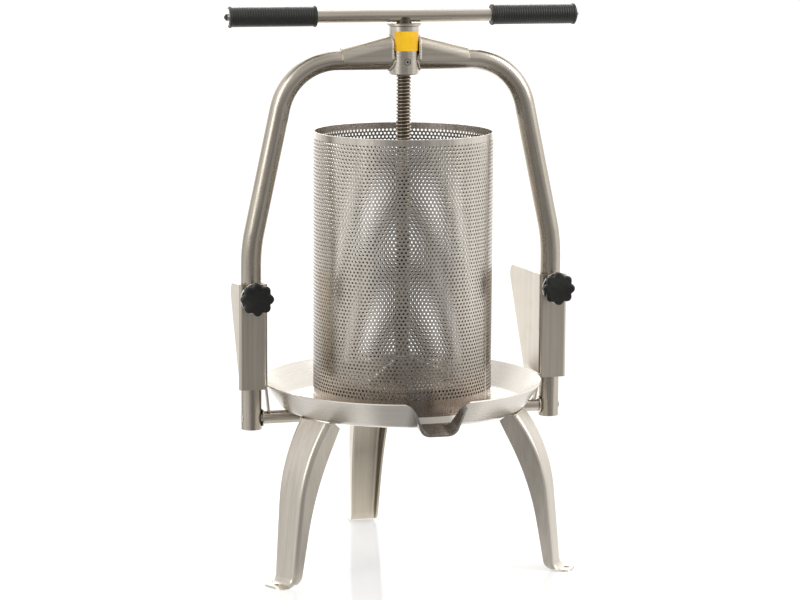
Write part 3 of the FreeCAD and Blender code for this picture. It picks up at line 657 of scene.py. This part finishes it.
def make_basket():
    """The wall in four sheets, to keep each within the limit of triangles, then its edges and its seam."""
    first = 0
    for index, last in enumerate((35, 69, 104, 138)):
        name = "basket_sheet_%d" % (index + 1)
        sizes = dict(BASKET, **{"First column": first, "Last column": last})
        mesh = weld_up(grow(name, basket_plan, sizes, basket_steel), outward=faces_outwards, degrees=30)
        add_piece(name, mesh, "basket", "basket_sheet", None, ["basket_wall"] if index == 0 else [])
        first = last
    outer, sheet = BASKET["Radius"], BASKET["Sheet"]

    def wall_grain(p):
        return Vector((p.z - wall_low.z, math.atan2(p.y, p.x) * outer, math.hypot(p.x, p.y) - outer))

    for name, base, way in (("basket_rim", wall_high.z, -1), ("basket_foot", wall_low.z, 1)):
        edge = BASKET["Edge round"] * way
        section = ((0, 1), (0.08, 0.35), (0.28, 0), (0.72, 0), (0.92, 0.35), (1, 1), (0.8, 2), (0.2, 2))
        mesh = turn(name, [(outer - sheet * share, base + edge * rise) for share, rise in section], 276)
        set_grain(mesh, wall_grain)
        add_piece(name, mesh, "basket", "basket_sheet", basket_steel)
    seam_angle = math.radians(52.8 - 90)
    strip("basket_seam", seam_angle, 3.0 * mm, outer - sheet - 0.15 * mm, outer + 0.1 * mm,
          wall_low.z + 0.3 * mm, wall_high.z - 0.3 * mm)


def strip(name, angle, width, inner, outer, low, high):
    """A plain upright strip along the basket's lapped seam."""
    shape = bmesh.new()
    half, soft = width / 2 / outer, 0.3 * mm
    across = [-half, -half + soft / outer, 0, half - soft / outer, half]
    lift = [soft, 0, 0, 0, soft]
    section = [(a, outer - drop) for a, drop in zip(across, lift)]
    section += [(a, inner + drop) for a, drop in zip(reversed(across), lift)]
    ends = [[shape.verts.new((r * math.cos(angle + a), r * math.sin(angle + a), z)) for a, r in section]
            for z in (low, high)]
    bridge(shape, *ends)
    for end in ends:
        shape.faces.new(end)
    bmesh.ops.recalc_face_normals(shape, faces=shape.faces)
    smooth_by_angle(shape, 40)
    mesh = mesh_from(shape, name)
    set_grain(mesh, straight_grain("Z"))
    add_piece(name, mesh, "basket", "basket_sheet", sheet_steel)


# Press screw: a thread of one start whose rows follow the helix, on a turned core

screw_low, screw_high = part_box("press_screw")
SCREW = {
    "Lead": 25.4 / 6 * mm, "Crest": screw_high.x, "Root": screw_high.x - 2.0 * mm,
    "Start": screw_low.z + 17 * mm, "End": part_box("stop_washer")[0].z - 1 * mm,
    "Steps": 48, "Rows in a turn": 10,
}


def thread_plan(tree, size):
    """Rows climb with the helix. Out from the middle of a turn, crest goes over to root from 0.26 to 0.70."""
    turns = (size["End"] - size["Start"]) / size["Lead"] + 2
    rows = turns * size["Rows in a turn"]
    grid, turned, climbed = tree.unit_grid(size["Steps"] + 1, rows)
    row = (climbed * (rows.of("FLOOR") - 1)).of("ROUND")
    along = (row / size["Rows in a turn"] + turned - 1.5) * size["Lead"] + size["Start"]
    height = along.of("MAXIMUM", size["Start"]).of("MINIMUM", size["End"])
    phase = (row / size["Rows in a turn"]) % 1.0
    slope = ((phase - 0.5).of("ABSOLUTE") * 2).ramp(0.26, 0.70, 1.0, 0.0)
    fade = ((height - size["Start"]) / size["Lead"]).ramp(0.0, 1.0)
    fade = fade * ((size["End"] - height) / size["Lead"]).ramp(0.0, 1.0)
    depth = slope * fade
    radius = size["Root"] + (size["Crest"] - size["Root"]) * depth
    return tree.moved(tree.store(grid, "depth", depth), tree.polar(turned * (2 * math.pi), radius, height))


def make_screw():
    mesh = weld_up(grow("press_thread", thread_plan, SCREW, screw_finish), 1e-5, 50, fill=True)
    add_piece("press_thread", mesh, "spindle", "screw_steel", None, ["press_screw"])
    crest, root = SCREW["Crest"], SCREW["Root"] + 0.05 * mm
    base, end = screw_low.z, screw_high.z - 2 * mm
    groove_low, groove_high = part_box("boss_lock_screw")
    centre, narrow = 0.5 * mm, 6.5 * mm
    profile = [(centre, base), (crest - 1.5 * mm, base), (crest, base + 1.5 * mm),
               (crest, groove_low.z - 0.6 * mm), (narrow, groove_low.z - 0.5 * mm),
               (narrow, groove_high.z + 0.5 * mm), (crest, groove_high.z + 0.6 * mm),
               (crest, SCREW["Start"] - 0.5 * mm), (root, SCREW["Start"] + 0.4 * mm),
               (root, SCREW["End"] - 0.4 * mm), (crest, SCREW["End"] + 0.5 * mm),
               (crest, end), (centre, end)]
    core = turn("press_screw_core", profile, 64)
    set_grain(core, turned_grain)
    add_piece("press_screw_core", core, "spindle", "screw_steel", dark_steel_and_gap_shadow)


# Clamp knobs: a round head whose rim rises and falls in eight lobes

KNOB = {"Lobes": 8, "Rim": 20.4 * mm, "Scallop": 3.4 * mm, "Thickness": 15.5 * mm, "Edge": 3.2 * mm,
        "Dish": 0.9 * mm, "Neck": 9.5 * mm, "Steps": 160}


def knob_plan(tree, size):
    """Rows run from the middle of the face, over the rim, to the back of the neck."""
    ends = (0, 9, 16, 19, 23, 24, 25)
    grid, around, along = tree.unit_grid(size["Steps"] + 1, ends[-1] + 1)
    row = (along * ends[-1]).of("ROUND")
    face, bend, side, under, neck, closing = [
        ((row - start) / (end - start)).of("MAXIMUM", 0.0).of("MINIMUM", 1.0)
        for start, end in zip(ends, ends[1:])]
    angle = around * (2 * math.pi)
    wave = (angle * size["Lobes"]).of("COSINE")
    lobe = (wave * 0.5 + 0.5) ** 0.6
    outer = size["Rim"] - size["Scallop"] * (1 - lobe)
    flat = outer - size["Edge"]
    quarter = bend * (math.pi / 2)
    taper, rim = 0.4 * mm, size["Thickness"] * 0.62
    radius = face * flat + quarter.of("SINE") * size["Edge"] - side * taper
    radius = radius + (size["Neck"] - outer + taper) * under - closing * size["Neck"]
    depth = (1 - quarter.of("COSINE")) * size["Edge"] + (1 - face * face) * size["Dish"]
    depth = depth + side * (rim - size["Edge"]) + under * (1.2 * mm)
    depth = depth + neck * (size["Thickness"] - rim + 6.5 * mm)
    return tree.moved(grid, tree.vector(angle.of("COSINE") * radius, depth, angle.of("SINE") * radius))


def make_knob(side):
    """The lobed head, stretched to the depth of its CAD node, and the steel plate in its back."""
    node = "clamp_knob_" + side
    low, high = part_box(node)
    middle = (low + high) / 2
    mesh = grow(node + "_head", knob_plan, KNOB, knob_black)
    stretch = (high.y - low.y) / max(vertex.co.y for vertex in mesh.vertices)
    face = Matrix.Translation((middle.x, low.y, middle.z))
    mesh.transform(face @ Matrix.Diagonal((1, stretch, 1, 1)))
    weld_up(mesh, 1e-6, 50)
    add_piece(node + "_head", mesh, "clamp_" + side, "knob_plastic", None, [node])
    bore, rim, soft, near, far = 8.0 * mm, 19.0 * mm, 0.4 * mm, -11.0 * mm, -13.0 * mm
    back = turn(node + "_back", [(bore, far), (rim - soft, far), (rim, far + soft),
                                 (rim, near - soft), (rim - soft, near), (bore, near)], 64)
    back.transform(face @ Matrix.Rotation(math.pi / 2, 4, "X"))
    set_grain(back, knob_grain(middle.x, middle.z))
    add_piece(node + "_back", back, "clamp_" + side, "stainless", chrome_steel)


# Bare label on the front of the hub, and the dark ring round the grub screw under it: a painted shadow of the
# gap round the screw

def make_label():
    hub_low, hub_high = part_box("hub")
    radius, half, corner = hub_high.x + 0.15 * mm, math.radians(53), 1.2 * mm
    low, high = hub_low.z + 29.0 * mm, hub_low.z + 52.8 * mm
    middle, rise = (low + high) / 2, (high - low) / 2
    columns, rows = 48, 12
    shape = bmesh.new()
    grid = []
    for j in range(rows + 1):
        v = j / rows * 2 - 1
        inset = max(0.0, corner - rise * (1 - abs(v)))
        reach = half - (corner - math.sqrt(max(0.0, corner * corner - inset * inset))) / radius
        angles = [-math.pi / 2 + (i / columns * 2 - 1) * reach for i in range(columns + 1)]
        grid.append([shape.verts.new((radius * math.cos(a), radius * math.sin(a), middle + v * rise))
                     for a in angles])
    for below, above in zip(grid, grid[1:]):
        for i in range(columns):
            shape.faces.new((below[i], below[i + 1], above[i + 1], above[i]))
    smooth_by_angle(shape, 60)
    piece = add_piece("hub_label", mesh_from(shape, "hub_label"), "stand", "stainless", label_finish)
    film = piece.modifiers.new("film", "SOLIDIFY")
    film.thickness = 0.14 * mm
    film.offset = -1
    # A dark ring round the grub screw: painted shadow of the gap round the screw.
    screw = middle_of("hub_grub_screw")
    inside, outside, thick = 3.5 * mm, 4.2 * mm, 0.8 * mm
    ring = turn("hub_grub_shadow_ring", [(inside, 0.0), (outside, 0.0), (outside, thick), (inside, thick)], 48)
    ring.transform(Matrix.Translation((screw.x, -radius, screw.z)) @ Matrix.Rotation(-math.pi / 2, 4, "X"))
    set_grain(ring, knob_grain(screw.x, screw.z))
    add_piece("hub_grub_shadow_ring", ring, "stand", "screw_steel", dark_steel_and_gap_shadow)


# Legs: a channel swept along its own smooth curve, with rounded folds and a drilled foot

LEG = {"sheet": 2.5 * mm, "fold": 6.5 * mm, "foot": 17.5 * mm, "top": 25.0 * mm, "corner": 8.0 * mm,
       "hole": 3.5 * mm, "hole from toe": 8.0 * mm}
LEGS = (("rear", 90), ("left", 210), ("right", 330))


def leg_depth(outer, inward, inner):
    """How far the cheek reaches from the outer face along a line to the cheek's free edge."""
    found = []
    for first, second in zip(inner, inner[1:]):
        side = second - first
        cross = inward.x * side.z - inward.z * side.x
        if abs(cross) < 1e-12:
            continue
        gap = first - outer
        along = (gap.x * side.z - gap.z * side.x) / cross
        share = (gap.x * inward.z - gap.z * inward.x) / cross
        if -1e-6 <= share <= 1 + 1e-6 and along > LEG["sheet"] * 0.8:
            found.append(along)
    return max(min(found), LEG["sheet"]) if found else LEG["sheet"]


def leg_profile(depth):
    """Half of the channel's section: outer side then inner side, each (inset from the edge, depth)."""
    fold, sheet = LEG["fold"], LEG["sheet"]
    turns = [index / 6 * math.pi / 2 for index in range(7)]
    outer = [(0.0, depth)] + [(fold * (1 - math.cos(a)), fold * (1 - math.sin(a))) for a in turns]
    small = fold - sheet
    inner = [(sheet, depth)] + [(fold - small * math.cos(a), fold - small * math.sin(a)) for a in turns]
    return ([(inset, min(d, depth)) for inset, d in outer], [(inset, min(d, depth)) for inset, d in inner])


def leg_half_width(place, toe, top):
    """The channel narrows towards the foot, whose corners are rounded."""
    base, corner = -2.5 * mm, LEG["corner"]
    past = min(max(0.0, place.x - (toe - corner)), corner)
    width = LEG["foot"] + (LEG["top"] - LEG["foot"]) * (place.z - base) / (top - base)
    return width - (corner - math.sqrt(max(0.0, corner ** 2 - past ** 2)))


def leg_mesh(name, toe, top):
    """A leg from its toe to its top. The spine is its sheet's middle line, inner its cheeks' free edge."""
    half, step = LEG["sheet"] / 2, 1.2 * mm
    ankle, heel = toe - 20 * mm, toe - 9 * mm
    spine = rounded_path([
        (toe, half), (ankle, half, 11 * mm), (toe - 35 * mm, top - 44.5 * mm, 185 * mm),
        (toe - 72.4 * mm, top + 4.45 * mm)], step)
    inner = rounded_path([
        (heel, 2.25 * mm), (ankle - 12 * mm, 3 * mm, 12 * mm),
        (ankle - 30.5 * mm, top - 83.5 * mm, 340 * mm), (toe - 96 * mm, top + 5 * mm)], step)
    shape = bmesh.new()
    rings = []
    for index, middle in enumerate(spine):
        run = heading(spine, index)
        outward = Vector((run.z, 0, -run.x))
        outer = middle + outward * half
        bare = middle.x > heel and middle.z < 4 * mm
        depth = LEG["sheet"] if bare else leg_depth(outer, -outward, inner)
        outside, inside = leg_profile(depth)
        ring = []
        for points, sign in ((outside, -1), (outside[::-1], 1), (inside, 1), (inside[::-1], -1)):
            for inset, d in points:
                place = outer - outward * d
                width = leg_half_width(place, toe, top)
                ring.append(shape.verts.new((sign * (width - inset), place.x, place.z)))
        rings.append(ring)
    skin(shape, rings)
    bmesh.ops.remove_doubles(shape, verts=shape.verts, dist=1e-6)
    bmesh.ops.dissolve_degenerate(shape, edges=shape.edges, dist=1e-6)
    cut = bmesh.ops.bisect_plane(shape, geom=shape.verts[:] + shape.edges[:] + shape.faces[:],
                                 plane_co=(0, 0, top), plane_no=(0, 0, 1), clear_outer=True)
    open_edges = [e for e in cut["geom_cut"] if isinstance(e, bmesh.types.BMEdge)]
    bmesh.ops.holes_fill(shape, edges=open_edges, sides=0)
    bmesh.ops.recalc_face_normals(shape, faces=shape.faces)
    return drill(mesh_from(shape, name), (0, toe - LEG["hole from toe"], 0), LEG["hole"])


def drill(mesh, place, radius):
    """Cuts an upright round hole through a mesh."""
    shape = bmesh.new()
    bmesh.ops.create_cone(shape, cap_ends=True, segments=40, radius1=radius, radius2=radius, depth=20 * mm,
                          matrix=Matrix.Translation(place))
    tool = mesh_from(shape, "drill")
    holders = []
    for item in (mesh, tool):
        holders.append(bpy.data.objects.new(item.name, item))
        bpy.context.scene.collection.objects.link(holders[-1])
    cut = holders[0].modifiers.new("cut", "BOOLEAN")
    cut.operation, cut.solver, cut.object = "DIFFERENCE", "EXACT", holders[1]
    graph = bpy.context.evaluated_depsgraph_get()
    result = bpy.data.meshes.new_from_object(holders[0].evaluated_get(graph))
    for holder in holders:
        bpy.data.objects.remove(holder)
    return result


def make_leg(name, turned):
    """One leg, made along +Y and turned to its place, with a duller finish inside the channel that is also
    painted darker: painted shade.
    """
    toe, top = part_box("leg_rear")[1].y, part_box("leg_rear")[1].z
    mesh = weld_up(leg_mesh(name, toe, top), 1e-7, 24)
    set_grain(mesh, lambda p: Vector((p.z, p.x, p.y * 0.3)))
    facing = 0.3
    inside = [face.normal.y < -facing or face.normal.x * face.center.x < -facing * abs(face.center.x)
              for face in mesh.polygons]
    mesh.transform(Matrix.Rotation(math.radians(turned - 90), 4, "Z"))
    piece = add_piece(name + "_finished", mesh, "stand", "stainless", leg_steel, [name])
    # Faces inside the channel get a rougher steel painted darker: painted shade.
    second_finish(mesh, channel_shade_steel, inside)
    shade_evenly(piece)


# Weld beads

ARM_RISE = 436 * mm
SIDES = (("left", -1), ("right", 1))


def bead(name, points, size):
    """A bead of weld along a line of points: it swells once for every drop."""
    step, drop, sides = 0.4 * mm, 1.9 * mm, 8
    line = [Vector(points[0])]
    for point in points[1:]:
        add_run(line, Vector(point), step)
    shape = bmesh.new()
    rings, run_length = [], 0.0
    across = heading(line, 0).cross(Vector((0.3, 0.5, 0.81))).normalized()
    for index, point in enumerate(line):
        run = heading(line, index)
        across = (across - run * across.dot(run)).normalized()
        upward = run.cross(across)
        if index:
            run_length += (point - line[index - 1]).length
        ends = min(index, len(line) - 1 - index) * step / size
        swell = size * (0.84 + 0.16 * abs(math.sin(math.pi * run_length / drop)))
        swell *= math.sqrt(min(1.0, 0.15 + ends))
        rings.append([shape.verts.new(point + (across * math.cos(a) + upward * math.sin(a)) * swell)
                      for a in (k * 2 * math.pi / sides for k in range(sides))])
    skin(shape, rings)
    bmesh.ops.recalc_face_normals(shape, faces=shape.faces)
    smooth_by_angle(shape, 70)
    add_piece(name, mesh_from(shape, name), "stand", "stainless", weld_finish)


def half_circle(radius, height, steps, way=1):
    """Points (y, z) of a half circle about a height: over it, or under it where way is -1."""
    angles = [math.pi * (index / steps - 0.5) for index in range(steps + 1)]
    return [(radius * math.sin(a), height + way * radius * math.cos(a)) for a in angles]


def make_welds():
    hub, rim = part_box("hub")[1].x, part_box("tray")[1].z
    arm = middle_of("cross_bar").z + ARM_RISE

    def hub_side(y):
        return math.sqrt(max(0.0, hub * hub - y * y))

    for name, side in SIDES:
        low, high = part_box("arm_gusset_" + name)
        inner, outer = sorted((abs(low.x), abs(high.x)))
        wide, base = high.y - 1.2 * mm, low.z + 0.5 * mm
        contour = [(-wide, base)] + half_circle(wide, high.z - wide - 1.0 * mm, 12) + [(wide, base)]
        saddle = [(side * max(inner - 0.1 * mm, hub_side(y) + 0.3 * mm), y, z) for y, z in contour]
        bead("weld_saddle_" + name, saddle, 1.9 * mm)
        under = [(side * (hub_side(y) + 0.5 * mm), y, z) for y, z in half_circle(12.6 * mm, arm, 16, -1)]
        bead("weld_arm_" + name, under, 1.7 * mm)
        collar = [(side * outer, y, z) for y, z in half_circle(13.0 * mm, arm, 16)]
        bead("weld_saddle_end_" + name, collar, 1.0 * mm)
        edge, height = 173.2 * mm * side, rim - 0.4 * mm
        bead("weld_bracket_" + name, [(edge, -15 * mm, height), (edge, 15 * mm, height)], 1.3 * mm)
        low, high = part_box("bracket_tab_" + name)
        inside = min(abs(low.x), abs(high.x)) * side
        bead("weld_tab_" + name, [
            (inside, -7.5 * mm, low.z - 0.6 * mm), (inside, -0.5 * mm, low.z + 0.3 * mm)], 1.4 * mm)
    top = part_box("leg_rear")[1].z - 0.5 * mm
    corners = ((126, -24.6), (148.5, -24.6), (150.2, -23), (150.2, 23), (148.5, 24.6), (126, 24.6))
    for name, turned in LEGS:
        around = Matrix.Rotation(math.radians(turned), 3, "Z")
        bead("weld_leg_" + name, [around @ Vector((r * mm, u * mm, top)) for r, u in corners], 1.3 * mm)


# Smooth copies that stand in for the CAD nodes

def arch_path(side):
    """The middle line of one half of the arch, from the post's foot to the hub."""
    post, bar_radius = 190.6 * mm, 8 * mm
    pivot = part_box("cross_bar")[0].z + bar_radius
    return rounded_path([
        (post * side, pivot - 13.5 * mm), (post * side, pivot + 210.6 * mm, 200 * mm),
        ((post - 48.5 * mm) * side, pivot + ARM_RISE, 72 * mm), (0.1 * mm * side, pivot + ARM_RISE)])


def refine_all():
    upright, along, deep = straight_grain("Z"), straight_grain("X"), straight_grain("Y")
    refine("tray", tray_steel, turned_grain, 28, widen_spout)
    for name, turned in LEGS:
        make_leg("leg_" + name, turned)
    refine("cross_bar", tube_steel, along)
    refine("hub", turned_steel, turned_grain)
    refine("screw_bush", bush_finish, turned_grain)
    grub = refine("hub_grub_screw", turned_steel, deep).data
    # The grub screw's socket gets the black plastic finish: painted shade in the recess.
    socket, floor = 1.7 * mm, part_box("hub_grub_screw")[0].y + 0.4 * mm
    second_finish(grub, cap_black, [face.center.y > floor and face.center.x ** 2 < socket ** 2
                                    for face in grub.polygons])
    refine("press_plate", turned_steel, turned_grain)
    refine("press_boss", turned_steel, turned_grain)
    refine("thrust_disc", bush_finish, turned_grain)
    refine("boss_lock_screw", dark_steel_and_gap_shadow, deep)
    for index in range(1, 5):
        refine("press_rib_%d" % index, sheet_steel, upright)
    refine("handle_tube", tube_steel, along)
    refine("stop_washer", sheet_steel, turned_grain)
    about_bar, about_handle = cross_grain(middle_of("cross_bar").z), cross_grain(middle_of("handle_tube").z)
    cap_recess = 218.8 * mm
    for name, side in SIDES:
        knob = middle_of("clamp_knob_" + name)
        about_knob = knob_grain(knob.x, knob.z)
        refine("pivot_washer_" + name, turned_steel, about_bar)
        refine("bracket_" + name, sheet_steel, upright)
        refine("bracket_tab_" + name, sheet_steel, upright)
        refine("arch_tube_" + name, tube_steel, path_grain(arch_path(side)), 40)
        refine("arm_gusset_" + name, sheet_steel, along, 25)
        refine("clamp_insert_" + name, turned_steel, about_knob)
        refine("clamp_washer_" + name, turned_steel, about_knob)
        refine("clamp_stud_" + name, dark_steel_and_gap_shadow, deep)
        refine("grip_" + name, grip_black, about_handle, 25)
        cap = refine("handle_cap_" + name, chrome_steel, about_handle, 25).data
        second_finish(cap, cap_black, [abs(face.center.x) > cap_recess for face in cap.polygons])
        make_knob(name)


refine_all()
make_basket()
make_screw()
make_label()
make_welds()


# Floor, light and camera

# Bright panels of the room: direction, half width, soft edge, strength
PANELS = ((1.75, 0.72, 0.3, 0.66), (-1.45, 0.5, 0.4, 0.45), (0.5, 0.1, 0.2, 0.28))
# Steps in brightness towards the back: from, to, strength
BACKDROP = ((2.1, 2.7, 0.72), (2.84, 2.96, 0.6))


def room_level(around):
    """Brightness of the room by direction: 0 is towards the spout, a quarter turn is to the right."""
    level = 0.36
    for centre, half, soft, strength in PANELS:
        level = level + (around - centre).of("ABSOLUTE").ramp(half, half + soft, 1.0, 0.0) * strength
    for start, end, strength in BACKDROP:
        level = level + around.of("ABSOLUTE").ramp(start, end) * strength
    return level


def floor_finish():
    """Pale floor that fades to the white of the backdrop away from the press."""
    material, tree = new_finish("pale_floor")
    x, y, _ = tree.add("ShaderNodeTexCoord", {}, output=3).parts()
    away = (x * x + y * y) ** 0.5
    rays = tree.add("ShaderNodeLightPath").socket.node
    seen, mirrored = Value(tree, rays.outputs["Is Camera Ray"]), Value(tree, rays.outputs["Is Glossy Ray"])
    lit = tree.add("ShaderNodeBsdfPrincipled", {}, {
        "Base Color": (0.93, 0.93, 0.93, 1.0), "Roughness": 0.05, "Specular IOR Level": 0.45})
    glow = tree.add("ShaderNodeEmission", {}, {"Color": WHITE, "Strength": 1.14})
    shown = tree.add("ShaderNodeMixShader", {}, {0: away.ramp(0.25, 1.0, 0.36, 1.0) * seen, 1: lit, 2: glow})
    level = room_level(x.of("ARCTAN2", y * -1))
    level = level * (1.0 - y.ramp(-1.2, -0.2, 0.3, 0.0)) + away.ramp(0.15, 0.4, 0.1, 0.0)
    room = tree.add("ShaderNodeEmission", {}, {"Color": WARM_WHITE, "Strength": level})
    mixed = tree.add("ShaderNodeMixShader", {}, {0: mirrored, 1: shown, 2: room})
    tree.add("ShaderNodeOutputMaterial", {}, {"Surface": mixed})
    return material


def make_floor():
    shape = bmesh.new()
    bmesh.ops.create_circle(shape, cap_ends=True, segments=64, radius=40.0)
    mesh = mesh_from(shape, "floor")
    mesh.materials.append(floor_finish())
    floor = bpy.data.objects.new("floor", mesh)
    bpy.context.scene.collection.objects.link(floor)


def make_world():
    """The camera sees plain white. Everything else sees the room, which is lighter higher up."""
    world = bpy.data.worlds.new("studio")
    world.use_nodes = True
    world.node_tree.nodes.clear()
    tree = Tree(world.node_tree)
    x, y, z = tree.add("ShaderNodeTexCoord", {}, output=0).parts()
    rays = tree.add("ShaderNodeLightPath").socket.node
    camera = Value(tree, rays.outputs["Is Camera Ray"])
    level = room_level(x.of("ARCTAN2", y * -1)) + z.ramp(0.0, 0.4) * 0.22
    seen = tree.add("ShaderNodeBackground", {}, {"Color": WHITE, "Strength": 1.0})
    room = tree.add("ShaderNodeBackground", {}, {"Color": WARM_WHITE, "Strength": level})
    mixed = tree.add("ShaderNodeMixShader", {}, {0: camera, 1: room, 2: seen})
    tree.add("ShaderNodeOutputWorld", {}, {"Surface": mixed})
    bpy.context.scene.world = world


def make_lamp(name, place, width, height, power):
    """A soft rectangular lamp that faces the middle of the press."""
    aim = Vector((0, 0, 0.35))
    lamp = bpy.data.lights.new(name, "AREA")
    lamp.shape = "RECTANGLE"
    lamp.size, lamp.size_y = width, height
    lamp.energy = power
    holder = bpy.data.objects.new(name, lamp)
    bpy.context.scene.collection.objects.link(holder)
    holder.location = place
    holder.rotation_euler = (aim - Vector(place)).to_track_quat("-Z", "Y").to_euler()


def make_camera():
    """The photograph's own view, for an image of 800 by 600."""
    eye, focal, image_width, sensor = (-0.9043, -3.370, 0.8863), 2865.0, 800, 36.0
    yaw, pitch, roll = math.radians(14.97), math.radians(9.13), math.radians(0.31)
    look = Vector((math.sin(yaw) * math.cos(pitch), math.cos(yaw) * math.cos(pitch), -math.sin(pitch)))
    right = Vector((math.cos(yaw), -math.sin(yaw), 0))
    up = right.cross(look)
    across = right * math.cos(roll) + up * math.sin(roll)
    above = across.cross(look)
    lens = bpy.data.cameras.new("camera")
    lens.sensor_width = sensor
    lens.lens = focal / image_width * sensor
    lens.clip_end = 100.0
    camera = bpy.data.objects.new("camera", lens)
    bpy.context.scene.collection.objects.link(camera)
    turned = Matrix((across, above, -look)).transposed()
    camera.matrix_world = Matrix.Translation(eye) @ turned.to_4x4()
    bpy.context.scene.camera = camera


make_floor()
make_world()
make_lamp("key", (2.0, -0.9, 1.7), 1.0, 1.6, 22)
make_lamp("fill", (-2.0, -1.0, 1.4), 0.8, 1.6, 12)
make_lamp("back", (0.5, 2.2, 1.8), 1.8, 0.8, 20)
make_camera()
bpy.context.scene.view_settings.view_transform = "Standard"
